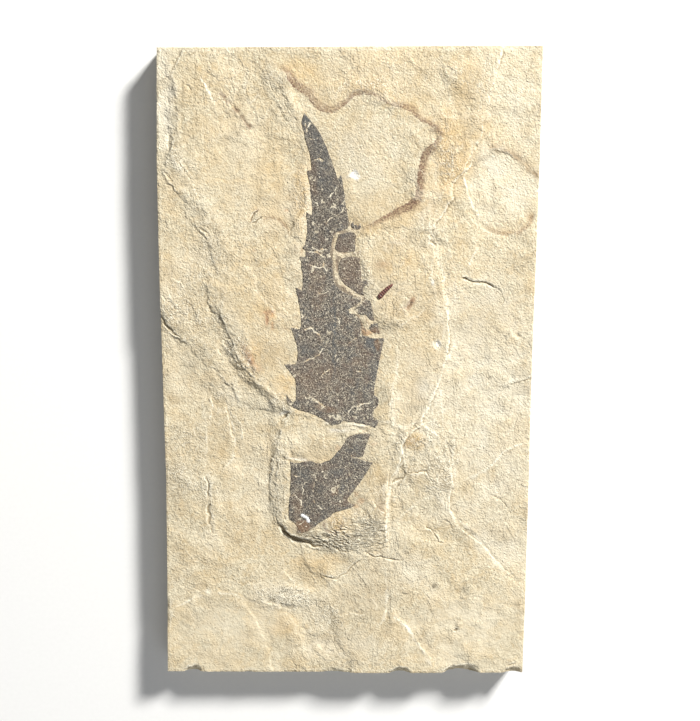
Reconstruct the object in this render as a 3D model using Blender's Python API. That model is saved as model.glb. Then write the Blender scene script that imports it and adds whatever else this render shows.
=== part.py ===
# Fossil leaf plate: a sawn slab of thin-bedded limestone with a pressed leaf on its split face.
#
# The slab lies on its sawn back. +X runs to the right across the fossil face, +Y towards the
# leaf's tip and +Z out of the face. The origin is the middle of the back.
#
# Outlines are lists of (x, y) points in millimetres. Heights are measured from the back.

import math

import bmesh
import bpy
from mathutils import Vector, noise

MM = 0.001

# Driving dimensions
LEAF_BED = 11.0 * MM            # height of the bedding plane that the leaf lies on
STONE_STEP = 0.3 * MM           # thickness of one split layer of stone
LOWEST_BED = LEAF_BED - 4 * STONE_STEP
HIDDEN_BED = 6.0 * MM           # where the layers start, inside the slab
CUT_TOP = 14.0 * MM             # where cutters end, above the slab
FILM_THICKNESS = 0.4 * MM       # the leaf's carbon film
FILM_GAP = 0.3 * MM             # clearance of a film to the stone under and around it
POCKET_FLOOR = LEAF_BED - FILM_THICKNESS - FILM_GAP
RAGGED_SPACING = 2.0 * MM       # distance between the nicks of a broken edge
RAGGED_DEPTH = 0.28 * MM        # how far the nicks reach
RAGGED_SCALE = 1.7 * MM         # size of the unevenness that places them

PARTS_NAME = "fossil_leaf_plate"
CUTTERS_NAME = "cutters"

# The sawn outline, counter-clockwise from the lower left corner
PLATE_OUTLINE = [
    (-50.4, -85.5), (-20.0, -85.7), (16.0, -85.8), (49.0, -85.7),
    (49.3, -64.0), (49.5, -30.0), (49.6, 6.0), (50.0, 33.0), (50.3, 57.0), (50.4, 85.8),
    (20.0, 85.7), (-18.0, 85.5), (-49.1, 85.4),
    (-49.8, 57.0), (-49.9, 33.0), (-49.8, 6.0), (-49.5, -30.0), (-49.9, -58.0),
]

# Split layers, from the lowest to the highest. Each is a bed's number of steps above the
# lowest bed, and its outline. Points past the sawn outline are cut off with it.
LAYERS = {
    "right_bed": (1.0, [
        (14, 95), (60, 95), (60, -62), (24, -62), (9, -44), (9, 0),
    ]),
    "shelf_bed": (0.8, [
        (-13, -46), (-12.6, -51.5), (-11, -55.6), (-9, -57), (-6, -57.7), (-3, -57.9),
        (-0.5, -56.3), (2, -53.8), (4.2, -52), (7, -51.7), (10, -52), (13, -52.3),
        (15.6, -53.2), (19, -51), (22, -44), (0, -42),
    ]),
    "bottom_left_bed": (0.9, [
        (-60, -69), (-48.3, -67.2), (-44.5, -64.8), (-40.3, -62.6), (-36, -61.8),
        (-32, -63.2), (-29, -65.2), (-26.5, -68.3), (-24.6, -71.5), (-23.4, -75.5),
        (-22, -79.5), (-21, -85), (-21, -95), (-60, -95),
    ]),
    "bottom_patch": (0.7, [
        (-22.3, -68.4), (-18, -67.9), (-15.5, -69.4), (-13.4, -72), (-10.8, -74.7),
        (-12.8, -77.2), (-18, -79.4), (-20.8, -78.4), (-22, -73.5),
    ]),
    "rough_patch": (0.6, [
        (-25, -62.3), (-21.5, -62.7), (-18, -62.9), (-15.2, -61.5), (-12, -60.9),
        (-9, -61), (-8.3, -64), (-11.5, -66.2), (-16, -66.4), (-20, -67.2), (-24, -65.4),
    ]),
    "mid_left_bed": (1.6, [
        (-60, 18), (-50, 16), (-48.2, 12.6), (-45.8, 9.6), (-44.2, 8.5), (-42.3, 7.4),
        (-40, 4), (-38, 1.6), (-35, 0.8), (-34.2, -1), (-32.6, -3), (-31.4, -3.6),
        (-30.6, -5.6), (-30, -7.5), (-28.5, -8.7), (-25.5, -9.6), (-22, -10.3),
        (-18, -11.4), (-12, -8), (-8, 95), (-60, 95),
    ]),
    "right_upper_bed": (1.8, [
        (13, 95), (60, 95), (60, 0), (50, -1.4), (45, -3.2), (42, -4), (39.6, -2.8),
        (39.3, 3), (39.5, 10), (40.2, 16), (41.3, 19), (41.4, 21.4), (40, 22.8),
        (37, 24.4), (34.5, 24.6), (31.6, 24.9), (30.3, 25.8), (26, 27), (13, 30),
    ]),
    "lower_right_bed": (2.2, [
        (18, -12), (24, -17), (27, -21), (28.6, -26), (28.9, -31), (27.7, -36),
        (28.2, -39.5), (30.2, -42.6), (33, -45), (36, -47), (38.5, -50), (41, -53),
        (43.3, -56.5), (46, -58.9), (50, -59.4), (60, -59.6), (60, -95), (25.6, -95),
        (24.5, -84.5), (22.2, -80), (20, -77.3), (18, -74.6), (16, -71.6), (14, -69.2),
        (12, -68), (11.6, -63), (11, -59.5), (12.5, -56), (14.9, -53.2), (13.4, -48.5),
        (12.6, -42), (12.6, -34), (16, -28.2), (14, -20),
    ]),
    "bottom_mid_bed": (2.8, [
        (12, -67.5), (14.1, -69.1), (16.1, -71.5), (18.1, -74.5), (20.1, -77.2),
        (22.3, -79.9), (24.6, -84.4), (25.8, -95), (1.5, -95), (0.5, -82),
        (-1.5, -77.5), (-2.8, -75.3), (-4.5, -72.6), (-3.2, -69.5), (1.5, -68),
        (6, -68.4),
    ]),
    "upper_left_bed": (3.0, [
        (-41, 95), (-42.6, 84), (-45.4, 79), (-45, 74.5), (-44.3, 70), (-45, 64),
        (-46, 59.5), (-47.5, 56), (-48.4, 52.5), (-46, 50), (-44.3, 48), (-43, 47),
        (-41.5, 45.4), (-41.8, 43.3), (-41, 41), (-40.2, 39.3), (-38.5, 38.3),
        (-37, 35.5), (-36.2, 32.5), (-35.3, 29.5), (-34.2, 27.5), (-35.4, 25.3),
        (-37.8, 23.8), (-37, 21), (-37.3, 18.8), (-36, 16.8), (-33.8, 15.4),
        (-32.5, 11), (-31.5, 7.5), (-30.2, 3.5), (-28.5, 1), (-26.5, -1.6),
        (-23.5, -5.1), (-20.5, -8.6), (-17.5, -10.4), (-14.5, -11.6), (-6, -6),
        (-5, 95),
    ]),
    "leaf_bed": (4.0, [
        (-21.5, 95), (-20.3, 81), (-17.5, 76.5), (-15.2, 71), (-12.9, 66.8),
        (-12.4, 63), (-11.5, 58), (-11.9, 53), (-11.3, 47), (-11.8, 44),
        (-13, 41.5), (-14.5, 38.5), (-17.5, 35.5), (-21, 33), (-25, 30.5),
        (-22, 18), (-19, 2), (-17, -7), (-15.3, -11), (-17.6, -13), (-18.3, -16),
        (-19.2, -21), (-20.8, -25), (-21.2, -30), (-20.8, -35), (-20.2, -39),
        (-18.9, -41.8), (-17.6, -43.7), (-16.8, -45.4), (-14, -46.9), (-9.5, -48.2),
        (-5, -49.5), (0, -50), (6, -50.3), (11.3, -50), (11, -46), (10.9, -40),
        (11.4, -33), (12.4, -28.8), (14.7, -25), (15, -20), (16.8, -17), (20, -14.5),
        (20.8, -11), (22.8, -7.5), (24.6, -3), (25.7, 1.5), (27.3, 6), (27.4, 10.5),
        (26.8, 16), (26, 22), (24.9, 27), (23.6, 31), (22.5, 34.5), (21.5, 37),
        (23.5, 40.5), (25.5, 43), (27.6, 46), (28, 50.5), (30.2, 53), (32.3, 57.5),
        (34.8, 61.5), (35.6, 66), (36.6, 70.5), (37.3, 75), (38.6, 79), (40, 84),
        (41, 95),
    ]),
    "left_bed": (4.5, [
        (-28.6, 29.6), (-25.6, 27.8), (-24.2, 25.5), (-24.3, 22.5), (-22.5, 20),
        (-19, 17.5), (-17.6, 14), (-16.6, 10.5), (-17.4, 6), (-18.8, 2.4), (-17.9, -1),
        (-17.4, -4.2), (-19.2, -7.8), (-21.5, -6), (-25, -2.4), (-27.8, 1.5),
        (-29.8, 5), (-31.4, 9), (-32.9, 13.5), (-34, 17), (-33, 22), (-31.2, 26.2),
    ]),
}

# The film's pieces, parted where stone shows between them
LEAF_PIECES = {
    "leaf_blade": [
        (-11.1, 68.8), (-10.1, 67.4), (-9.3, 66.7), (-8.4, 65.6), (-7.4, 64), (-6.6, 62.6),
        (-5.8, 61), (-5.2, 59.4), (-4.5, 57.6), (-3.8, 55.6), (-3.1, 53.6), (-2.7, 52),
        (-2.2, 51.9), (-1.7, 52.8), (-1.3, 52), (-1.1, 50.2), (-0.8, 48), (-0.5, 45.8),
        (-0.1, 43.2), (0.3, 40.6), (0.2, 39.2), (-0.6, 38.5), (-2.3, 38.1), (-3.4, 37.6),
        (-4, 36), (-4.3, 34), (-4.7, 32.5), (-4.4, 31.4), (-3.9, 30.2), (-3.9, 28),
        (-3.8, 26), (-3.6, 24.7), (-2.7, 23.3), (-1.1, 22), (0.8, 21), (2.5, 20.3),
        (3.6, 19.6), (2.8, 18.9), (1.3, 18), (0.2, 17.3), (0.6, 16.3), (2, 15.8),
        (3.2, 14.8), (3.6, 13), (3.7, 11), (4, 10.3), (5, 10.1), (6, 9.7), (7.5, 9.5),
        (10, 9.6), (9.6, 8.2), (9, 5.5), (8.6, 3.5), (8.1, 0.5), (7.6, -2), (7.2, -4.5),
        (7.2, -6), (8.3, -6.9), (8.5, -8), (8.2, -9), (7.2, -10), (6.9, -11.5),
        (7.1, -12.7), (8.4, -13), (8.2, -14), (7.5, -15), (6.2, -14.3), (4.5, -14),
        (2, -13.5), (0.2, -13.3), (-1, -13), (-2, -13.9), (-4, -14.4), (-5.2, -13.6),
        (-7, -12.4), (-9, -11.3), (-11, -10.6), (-13, -10.1), (-14.8, -9.2),
        (-15.7, -8.8), (-16.3, -7.5), (-16.5, -5.8), (-15.7, -7), (-14.9, -7.9),
        (-13.9, -7.6), (-13.8, -5), (-13.8, -3), (-14, -1.7), (-14.8, -0.4),
        (-15.7, 0.8), (-17, 2.4), (-15.5, 2.4), (-13.9, 2.6), (-13.4, 3.6), (-13.3, 5.5),
        (-13.4, 7.3), (-13.9, 9), (-14.5, 10.8), (-15.2, 12.5), (-14, 12.2),
        (-12.6, 12), (-12.4, 13), (-12.4, 15), (-12.7, 18), (-13, 20), (-13.5, 22),
        (-13.7, 23.2), (-12.8, 22.8), (-12, 22.3), (-11.8, 25), (-11.8, 27),
        (-12.2, 28.2), (-12.1, 30), (-12.7, 31.4), (-11.1, 31.3), (-11, 32.8),
        (-11.9, 33.7), (-11.1, 34.6), (-10.9, 36), (-10.5, 38), (-10.5, 40),
        (-10.8, 42), (-10.7, 43.2), (-10.1, 42.6), (-9.3, 42.3), (-9.2, 44), (-9.3, 46),
        (-9.6, 47.5), (-9.7, 50), (-10.2, 52), (-10.6, 53.7), (-10, 54), (-9.4, 54.1),
        (-9.3, 55.5), (-9.7, 57.5), (-10, 59), (-10.5, 60.5), (-11, 62.2),
        (-11.2, 63.8), (-11.7, 65), (-11.9, 66), (-11.6, 67.5),
    ],
    "leaf_base": [
        (-15.6, -24.4), (-14.4, -24.9), (-13, -24.9), (-11.5, -24.4), (-9.8, -24.3),
        (-8.4, -24.9), (-7.2, -25), (-6, -24.5), (-4.8, -24.1), (-3.8, -23.2), (-3, -22),
        (-1.8, -20.8), (-0.7, -19.2), (-0.3, -18), (0.5, -17.4), (2, -16.9),
        (3.8, -16.7), (6.3, -16.8), (5.8, -18), (5.1, -20), (4.6, -22), (4.1, -23.1),
        (2.4, -23.4), (4.7, -24.2), (6.9, -24.7), (6.1, -26), (5, -28), (3.6, -30),
        (2.2, -32), (0.8, -34), (0, -35), (0.2, -35.8), (1, -36.3), (2.2, -36.6),
        (0.8, -37.6), (-1.6, -38.3), (-4, -39), (-4.5, -39.9), (-6.5, -41), (-9, -42.8),
        (-11, -44.2), (-12.4, -44.6), (-14, -44.5), (-13.5, -43.4), (-14.5, -41.8),
        (-15.6, -41), (-16, -40), (-16, -37), (-15.9, -34.8), (-15.5, -33.8),
        (-15.6, -32), (-15.4, -29), (-15.4, -26.5),
    ],
    "leaf_tile_upper": [
        (-2.3, 37.2), (-1, 37.5), (0.6, 37.9), (2, 37.6), (2, 35), (2.1, 32.8),
        (0.5, 32.6), (-1.5, 32.7), (-3.1, 33.2), (-3.2, 34), (-2.9, 35.2), (-2.5, 36.2),
    ],
    "leaf_tile_middle": [
        (-1.4, 31), (0, 31.4), (2, 31.3), (3.6, 31), (3.2, 30), (3.6, 28), (3.6, 26),
        (3.9, 24.8), (5.2, 25.1), (5.7, 24.2), (4.6, 23.6), (4.1, 22.8), (4.3, 21.8),
        (4.6, 21), (3.4, 21.2), (2.3, 22), (1, 22.9), (-0.8, 24.2), (-1.5, 25.3),
        (-2.2, 26.8), (-2.3, 28.5), (-2, 30),
    ],
    "leaf_tile_worn": [
        (4.9, 19.9), (6.2, 19.6), (6.5, 18), (6.9, 16), (7.1, 14.3), (6.2, 14.5),
        (5.6, 15.1), (5, 15.8), (3.5, 16), (1.8, 17), (2.5, 17.8), (3.8, 18.6),
        (4.4, 19.3),
    ],
    "leaf_tile_edge": [
        (6.3, 13.4), (8, 13.7), (8.4, 12), (8.9, 10.7), (7.5, 10.8), (6.2, 11.6),
        (5.8, 12.4),
    ],
    "leaf_crumb": [
        (1, 39), (1.1, 40), (1.5, 40.7), (1.8, 39.7), (2.4, 39.7), (2.8, 39.2),
        (3.4, 40.4), (3.7, 39), (2.8, 38.6),
    ],
}

# A small twig that lies beside the leaf, as its two ends and its half widths along the way
TWIG_START = (8.0, 20.1)
TWIG_END = (12.3, 24.3)
TWIG_HALF_WIDTHS = [0.34, 0.55, 0.6, 0.56, 0.5, 0.46, 0.4, 0.32, 0.16]

# Where a chisel took the stone down around the leaf's base, in steps above the lowest bed
CHISEL_STEPS = [
    (3.2, [(-6, -46.4), (-1, -43.6), (4, -42), (10.6, -41.2), (10.6, -54), (-8, -54)]),
    (2.2, [(-7, -47.2), (-1, -46.2), (4, -45), (10.6, -44.4), (10.6, -54), (-8, -54)]),
    (1.4, [(-4, -49), (1, -48.4), (6, -47.9), (10.6, -47.5), (10.6, -54), (-4, -54)]),
    (3.0, [(-17.2, -18), (-17.3, -26), (-17.4, -34), (-17.2, -42), (-24, -44), (-24, -17)]),
    (1.8, [(-19, -21), (-19.3, -28), (-19.1, -35), (-18.4, -42.6), (-24, -44), (-24, -21)]),
]

# Lines cut into the stone: width, depth below the lowest bed's number of steps, and route
GROOVES = {
    "undercut": (0.9, -2.0, [(-18.9, -41.8), (-17.6, -44.3), (-15.6, -46.3), (-12.5, -47.4),
                             (-9, -48.4), (-6, -49.2)]),
    "right_crack": (0.45, 0.2, [(30.2, 25.8), (31.2, 25.3), (32, 24.6), (34.5, 24.5),
                                (37, 24.2), (40, 22.7)]),
    "left_seam": (0.5, -0.7, [(-38.2, -29.5), (-38, -34), (-37.8, -38), (-37.9, -42),
                              (-37.3, -46)]),
    "base_seam": (0.35, 0.0, [(-8.6, -57.1), (-5.5, -58), (-3, -58.2), (-0.6, -56.8),
                              (1.8, -54.3), (4.1, -52.4), (8, -52.1)]),
}

# The bared patch between the two halves of the leaf, and the round hollow at the right
BARE_PATCH = [
    (-15.4, -11.2), (-12, -11.8), (-9, -12.4), (-6.5, -13.8), (-4, -15.2), (-1, -14.3),
    (2, -14.6), (5.6, -15.2), (5.8, -16.2), (2, -16.3), (-0.4, -16.9), (-1.2, -18.2),
    (-2.4, -20.4), (-3.6, -21.8), (-4.6, -23.2), (-6, -23.7), (-7.3, -24.2),
    (-9.8, -23.5), (-12.6, -24.1), (-15.2, -23.8), (-16.6, -21), (-17, -16),
]
BARE_PATCH_STEPS = 3.2
HOLLOW_CENTRE = (40.6, 48.0)
HOLLOW_RADII = (10.0, 10.8)
HOLLOW_STEPS = 1.0

# Chips off the sawn edges: centre x, y, half length, half reach, half height below the face
EDGE_CHIPS = [
    (-43.2, -85.9, 2.9, 2.2, 3.0), (-4.0, -86.1, 3.6, 1.7, 2.6), (14.6, -86.2, 2.8, 2.3, 3.4),
    (31.4, -86.2, 5.6, 2.3, 4.0), (46.4, -86.1, 2.6, 2.2, 2.2), (-27.0, -86.3, 3.4, 1.2, 1.6),
    (-50.9, -71.0, 1.3, 3.0, 2.2), (-50.5, 75.5, 1.2, 2.0, 1.8), (-51.0, -58.0, 1.2, 1.6, 1.5),
    (50.9, -72.5, 1.3, 2.6, 2.0), (51.2, 41.8, 1.5, 2.2, 1.8), (-36.0, 86.2, 3.2, 1.2, 1.4),
    (51.2, 86.6, 1.8, 1.8, 2.0), (24.5, 86.7, 3.0, 1.2, 1.5),
]

# Pits in the face: centre x, y, radius and depth
FACE_PITS = [
    (1.8, 52.8, 1.1, 0.45), (24.3, 7.8, 0.9, 0.4), (30.1, -72.9, 0.45, 0.3),
    (23.9, -60.2, 0.7, 0.2), (-17.4, 58.2, 0.8, 0.2), (18.4, -19.4, 1.3, 0.4),
    (13.4, -17.5, 0.8, 0.3), (-20.6, -65.0, 1.4, 0.4), (31.2, -62.4, 1.6, 0.35),
    (45.6, 10.4, 0.8, 0.3), (24.2, 34.6, 0.9, 0.5), (-31.2, 9.9, 1.1, 0.5),
]
PIT_SIDES = 7


def metres(points):
    return [Vector((x * MM, y * MM)) for x, y in points]


def bed_height(steps):
    return LOWEST_BED + steps * STONE_STEP


def on_plate(point):
    xs = [x * MM for x, y in PLATE_OUTLINE]
    ys = [y * MM for x, y in PLATE_OUTLINE]
    return min(xs) < point.x < max(xs) and min(ys) < point.y < max(ys)


def ragged(points, seed):
    # Adds the nicks of broken stone along every stretch that lies on the plate
    nicked = []
    for start, end in zip(points, points[1:] + points[:1]):
        count = 1
        if on_plate(start) or on_plate(end):
            count = max(1, round((end - start).length / RAGGED_SPACING))
        across = (end - start).normalized().orthogonal()
        for index in range(count):
            point = start.lerp(end, index / count)
            where = Vector((point.x, point.y, 0.0)) / RAGGED_SCALE
            where.z = seed
            nicked.append(point + across * RAGGED_DEPTH * noise.noise(where))
    return nicked


def turned_area(points):
    pairs = zip(points, points[1:] + points[:1])
    return sum(a.x * b.y - b.x * a.y for a, b in pairs) / 2


def outset(points, distance):
    # Moves each point out along the middle of its two sides, with sharp tips kept short
    outward = -1 if turned_area(points) > 0 else 1
    moved = []
    for before, here, after in zip(points[-1:] + points[:-1], points, points[1:] + points[:1]):
        first = (here - before).normalized().orthogonal() * outward
        second = (after - here).normalized().orthogonal() * outward
        middle = (first + second).normalized()
        reach = distance / max(0.6, middle.dot(first))
        moved.append(here + middle * reach)
    return moved


def band(points, width):
    # A strip of the given width along an open route, pointed at both ends
    left = []
    right = []
    for index in range(1, len(points) - 1):
        along = (points[index + 1] - points[index - 1]).normalized()
        across = along.orthogonal() * width / 2
        left.append(points[index] + across)
        right.append(points[index] - across)
    return [points[0]] + left + [points[-1]] + right[::-1]


def material(name, colour, roughness):
    finish = bpy.data.materials.new(name)
    finish.use_nodes = True
    shader = finish.node_tree.nodes["Principled BSDF"]
    shader.inputs["Base Color"].default_value = (*colour, 1.0)
    shader.inputs["Roughness"].default_value = roughness
    shader.inputs["Metallic"].default_value = 0.0
    return finish


def flat_solid(name, points, bottom, top, collection):
    # A 2D outline with both faces filled, extruded evenly about its middle height
    curve = bpy.data.curves.new(name, "CURVE")
    curve.dimensions = "2D"
    curve.fill_mode = "BOTH"
    curve.extrude = (top - bottom) / 2
    spline = curve.splines.new("POLY")
    spline.points.add(len(points) - 1)
    for spline_point, point in zip(spline.points, points):
        spline_point.co = (point.x, point.y, 0.0, 1.0)
    spline.use_cyclic_u = True
    outline = bpy.data.objects.new(name + "_outline", curve)
    outline.location.z = (bottom + top) / 2
    collection.objects.link(outline)
    return as_mesh(outline, name, collection)


def as_mesh(outline, name, collection):
    # A curve's caps are loose, so its mesh is welded before any cut
    bpy.context.view_layer.update()
    evaluated = outline.evaluated_get(bpy.context.evaluated_depsgraph_get())
    solid = bpy.data.objects.new(name, bpy.data.meshes.new_from_object(evaluated))
    solid.matrix_world = outline.matrix_world
    collection.objects.link(solid)
    bpy.data.objects.remove(outline)
    body = bmesh.new()
    body.from_mesh(solid.data)
    bmesh.ops.remove_doubles(body, verts=body.verts, dist=0.001 * MM)
    bmesh.ops.recalc_face_normals(body, faces=body.faces)
    body.to_mesh(solid.data)
    body.free()
    return solid


def ellipsoid(name, centre, radii, collection):
    body = bmesh.new()
    bmesh.ops.create_icosphere(body, subdivisions=2, radius=1.0)
    mesh = bpy.data.meshes.new(name)
    body.to_mesh(mesh)
    body.free()
    solid = bpy.data.objects.new(name, mesh)
    solid.location = centre
    solid.scale = radii
    collection.objects.link(solid)
    return solid


def cone_pit(name, centre, radius, depth, collection):
    # A shallow dish that is wide above the face and narrow at its floor
    body = bmesh.new()
    bmesh.ops.create_cone(
        body, cap_ends=True, segments=PIT_SIDES,
        radius1=radius * 0.4, radius2=radius * 1.6, depth=depth * 2,
    )
    mesh = bpy.data.meshes.new(name)
    body.to_mesh(mesh)
    body.free()
    solid = bpy.data.objects.new(name, mesh)
    solid.location = centre
    solid.rotation_euler.z = centre.x / MM
    collection.objects.link(solid)
    return solid


def combine(target, other, operation):
    step = target.modifiers.new(other.name, "BOOLEAN")
    step.operation = operation
    step.solver = "EXACT"
    step.object = other
    other.hide_render = True
    other.display_type = "WIRE"


def face_height(x, y):
    # The height of the highest layer under a point, for cuts that follow the face
    height = LOWEST_BED
    point = Vector((x * MM, y * MM))
    for steps, outline in LAYERS.values():
        if inside(point, metres(outline)):
            height = max(height, bed_height(steps))
    return height


def inside(point, outline):
    crossings = 0
    for start, end in zip(outline, outline[1:] + outline[:1]):
        if (start.y > point.y) != (end.y > point.y):
            share = (point.y - start.y) / (end.y - start.y)
            crossings += point.x < start.x + share * (end.x - start.x)
    return crossings % 2 == 1


def build_layers(stone, cutters):
    for index, (name, (steps, outline)) in enumerate(LAYERS.items()):
        points = ragged(metres(outline), index)
        layer = flat_solid(name, points, HIDDEN_BED, bed_height(steps), cutters)
        combine(stone, layer, "UNION")
    sawn = flat_solid("sawn_sides", metres(PLATE_OUTLINE), -MM, CUT_TOP, cutters)
    combine(stone, sawn, "INTERSECT")


def cut_surface(stone, cutters):
    for index, (steps, outline) in enumerate(CHISEL_STEPS):
        points = ragged(metres(outline), index + 20)
        cut = flat_solid(f"chisel_step_{index + 1}", points, bed_height(steps), CUT_TOP, cutters)
        combine(stone, cut, "DIFFERENCE")
    patch = flat_solid(
        "bare_patch", ragged(metres(BARE_PATCH), 30), bed_height(BARE_PATCH_STEPS), CUT_TOP,
        cutters,
    )
    combine(stone, patch, "DIFFERENCE")
    for name, (width, steps, route) in GROOVES.items():
        points = band(metres(route), width * MM)
        combine(stone, flat_solid(name, points, bed_height(steps), CUT_TOP, cutters), "DIFFERENCE")
    turns = [math.radians(step * 10) for step in range(36)]
    rim = [
        (HOLLOW_CENTRE[0] + HOLLOW_RADII[0] * math.cos(turn),
         HOLLOW_CENTRE[1] + HOLLOW_RADII[1] * math.sin(turn))
        for turn in turns
    ]
    hollow = flat_solid("hollow", metres(rim), bed_height(HOLLOW_STEPS), CUT_TOP, cutters)
    combine(stone, hollow, "DIFFERENCE")


def chip_and_pit(stone, cutters):
    for index, (x, y, along, reach, drop) in enumerate(EDGE_CHIPS):
        radii = Vector((along, reach, drop)) * MM
        centre = Vector((x * MM, y * MM, LEAF_BED))
        combine(stone, ellipsoid(f"chip_{index + 1}", centre, radii, cutters), "DIFFERENCE")
    for index, (x, y, radius, depth) in enumerate(FACE_PITS):
        centre = Vector((x * MM, y * MM, face_height(x, y)))
        pit = cone_pit(f"pit_{index + 1}", centre, radius * MM, depth * MM, cutters)
        combine(stone, pit, "DIFFERENCE")


def build_leaf(stone, parts, cutters):
    carbon = material("leaf_carbon", (0.080, 0.066, 0.058), 0.7)
    for name, outline in LEAF_PIECES.items():
        points = metres(outline)
        film = flat_solid(name, points, LEAF_BED - FILM_THICKNESS, LEAF_BED, parts)
        film.data.materials.append(carbon)
        pocket = flat_solid(
            name + "_pocket", outset(points, FILM_GAP), POCKET_FLOOR, CUT_TOP, cutters)
        combine(stone, pocket, "DIFFERENCE")


def twig_outline():
    start, end = metres([TWIG_START, TWIG_END])
    across = (end - start).normalized().orthogonal()
    last = len(TWIG_HALF_WIDTHS) - 1
    middles = [start.lerp(end, index / last) for index in range(last + 1)]
    left = [m + across * w * MM for m, w in zip(middles, TWIG_HALF_WIDTHS)]
    right = [m - across * w * MM for m, w in zip(middles, TWIG_HALF_WIDTHS)]
    return left + right[::-1]


def build_twig(stone, parts, cutters):
    points = twig_outline()
    twig = flat_solid("twig_fragment", points, LEAF_BED - FILM_THICKNESS, LEAF_BED, parts)
    twig.data.materials.append(material("twig_brown", (0.110, 0.035, 0.030), 0.6))
    pocket = flat_solid("twig_pocket", outset(points, FILM_GAP), POCKET_FLOOR, CUT_TOP, cutters)
    combine(stone, pocket, "DIFFERENCE")


def main():
    for old in list(bpy.data.objects):
        bpy.data.objects.remove(old)
    parts = bpy.data.collections.new(PARTS_NAME)
    cutters = bpy.data.collections.new(CUTTERS_NAME)
    bpy.context.scene.collection.children.link(parts)
    bpy.context.scene.collection.children.link(cutters)

    slab = [(-60, -95), (60, -95), (60, 95), (-60, 95)]
    stone = flat_solid("stone_plate", metres(slab), 0.0, LOWEST_BED, parts)
    stone.data.materials.append(material("limestone", (0.800, 0.690, 0.500), 0.85))
    build_layers(stone, cutters)
    cut_surface(stone, cutters)
    chip_and_pit(stone, cutters)
    build_leaf(stone, parts, cutters)
    build_twig(stone, parts, cutters)


main()
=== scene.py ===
import math

import bpy
import numpy as np
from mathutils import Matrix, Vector
from mathutils.bvhtree import BVHTree


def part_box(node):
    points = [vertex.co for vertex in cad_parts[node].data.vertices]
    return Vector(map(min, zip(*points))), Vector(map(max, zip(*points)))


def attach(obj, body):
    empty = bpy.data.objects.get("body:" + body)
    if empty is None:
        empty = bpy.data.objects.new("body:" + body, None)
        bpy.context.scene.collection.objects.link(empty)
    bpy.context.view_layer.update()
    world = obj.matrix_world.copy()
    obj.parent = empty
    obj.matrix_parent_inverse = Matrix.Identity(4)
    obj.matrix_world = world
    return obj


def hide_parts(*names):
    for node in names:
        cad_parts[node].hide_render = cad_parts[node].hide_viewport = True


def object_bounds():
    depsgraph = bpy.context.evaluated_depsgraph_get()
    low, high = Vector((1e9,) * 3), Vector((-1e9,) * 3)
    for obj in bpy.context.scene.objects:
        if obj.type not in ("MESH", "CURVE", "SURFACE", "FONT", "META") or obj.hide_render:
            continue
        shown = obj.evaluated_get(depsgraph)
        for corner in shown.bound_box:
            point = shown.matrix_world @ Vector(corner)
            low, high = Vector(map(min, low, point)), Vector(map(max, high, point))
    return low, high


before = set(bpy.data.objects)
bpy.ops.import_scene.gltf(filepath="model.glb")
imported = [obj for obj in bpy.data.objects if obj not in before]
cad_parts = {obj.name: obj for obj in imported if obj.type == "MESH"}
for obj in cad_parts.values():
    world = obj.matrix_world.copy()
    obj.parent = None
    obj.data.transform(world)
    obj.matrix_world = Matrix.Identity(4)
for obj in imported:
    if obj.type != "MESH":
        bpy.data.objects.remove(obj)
cadLow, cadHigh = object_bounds()
mm = 0.001
print("packed slab and films loaded")

noiseCells = 211    # the smooth noise repeats after so many bumps


def deselectAll():
    if bpy.context.object and bpy.context.object.mode != "OBJECT":
        bpy.ops.object.mode_set(mode="OBJECT")
    bpy.ops.object.select_all(action="DESELECT")


def makeActive(piece):
    deselectAll()
    piece.select_set(True)
    bpy.context.view_layer.objects.active = piece


def leaveFacingOut():
    # turns every face of the edited mesh outwards and leaves edit mode
    bpy.ops.mesh.select_all(action="SELECT")
    bpy.ops.mesh.normals_make_consistent(inside=False)
    bpy.ops.object.mode_set(mode="OBJECT")


def readPoints(piece):
    flat = np.empty(len(piece.data.vertices) * 3)
    piece.data.vertices.foreach_get("co", flat)
    return flat.reshape(-1, 3)


def writePoints(piece, points):
    piece.data.vertices.foreach_set("co", points.ravel())
    piece.data.update()


def paint(piece, name, values):
    layer = piece.data.attributes.new(name, "FLOAT", "POINT")
    layer.data.foreach_set("value", np.asarray(values, dtype=np.float32))


def ease(value, low, high):
    share = np.clip((value - low) / (high - low), 0.0, 1.0)
    return share * share * (3.0 - 2.0 * share)


def wander(x, y, size, seed):
    # smooth noise from -1 to 1, its bumps about one size apart
    table = np.random.default_rng(seed).uniform(-1.0, 1.0, (noiseCells, noiseCells))
    turn = 0.6 + seed * 0.83
    u = (x * math.cos(turn) + y * math.sin(turn)) / size + 500.0
    v = (y * math.cos(turn) - x * math.sin(turn)) / size + 500.0
    column, row = np.floor(u).astype(int), np.floor(v).astype(int)
    s, t = ease(u - column, 0.0, 1.0), ease(v - row, 0.0, 1.0)
    left, right = column % noiseCells, (column + 1) % noiseCells
    below, above = row % noiseCells, (row + 1) % noiseCells
    near = table[below, left] * (1 - s) + table[below, right] * s
    far = table[above, left] * (1 - s) + table[above, right] * s
    return near * (1 - t) + far * t


def roughWander(x, y, size, seed, layers=3):
    total = 0.0
    for layer in range(layers):
        total = total + wander(x, y, size / 2.1 ** layer, seed + layer * 7) * 0.55 ** layer
    return total


def shaken(x, y, reach, size, seed):
    # the places moved about by rough noise, in mm
    return (x + reach * mm * roughWander(x, y, size * mm, seed),
            y + reach * mm * roughWander(x, y, size * mm, seed + 1))


def turned(x, y, degrees):
    turn = math.radians(degrees)
    return x * math.cos(turn) + y * math.sin(turn), y * math.cos(turn) - x * math.sin(turn)


def stairs(field, low, high):
    # the field as level treads with short slopes between them
    return np.floor(field) + ease(field - np.floor(field), low, high)


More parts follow.
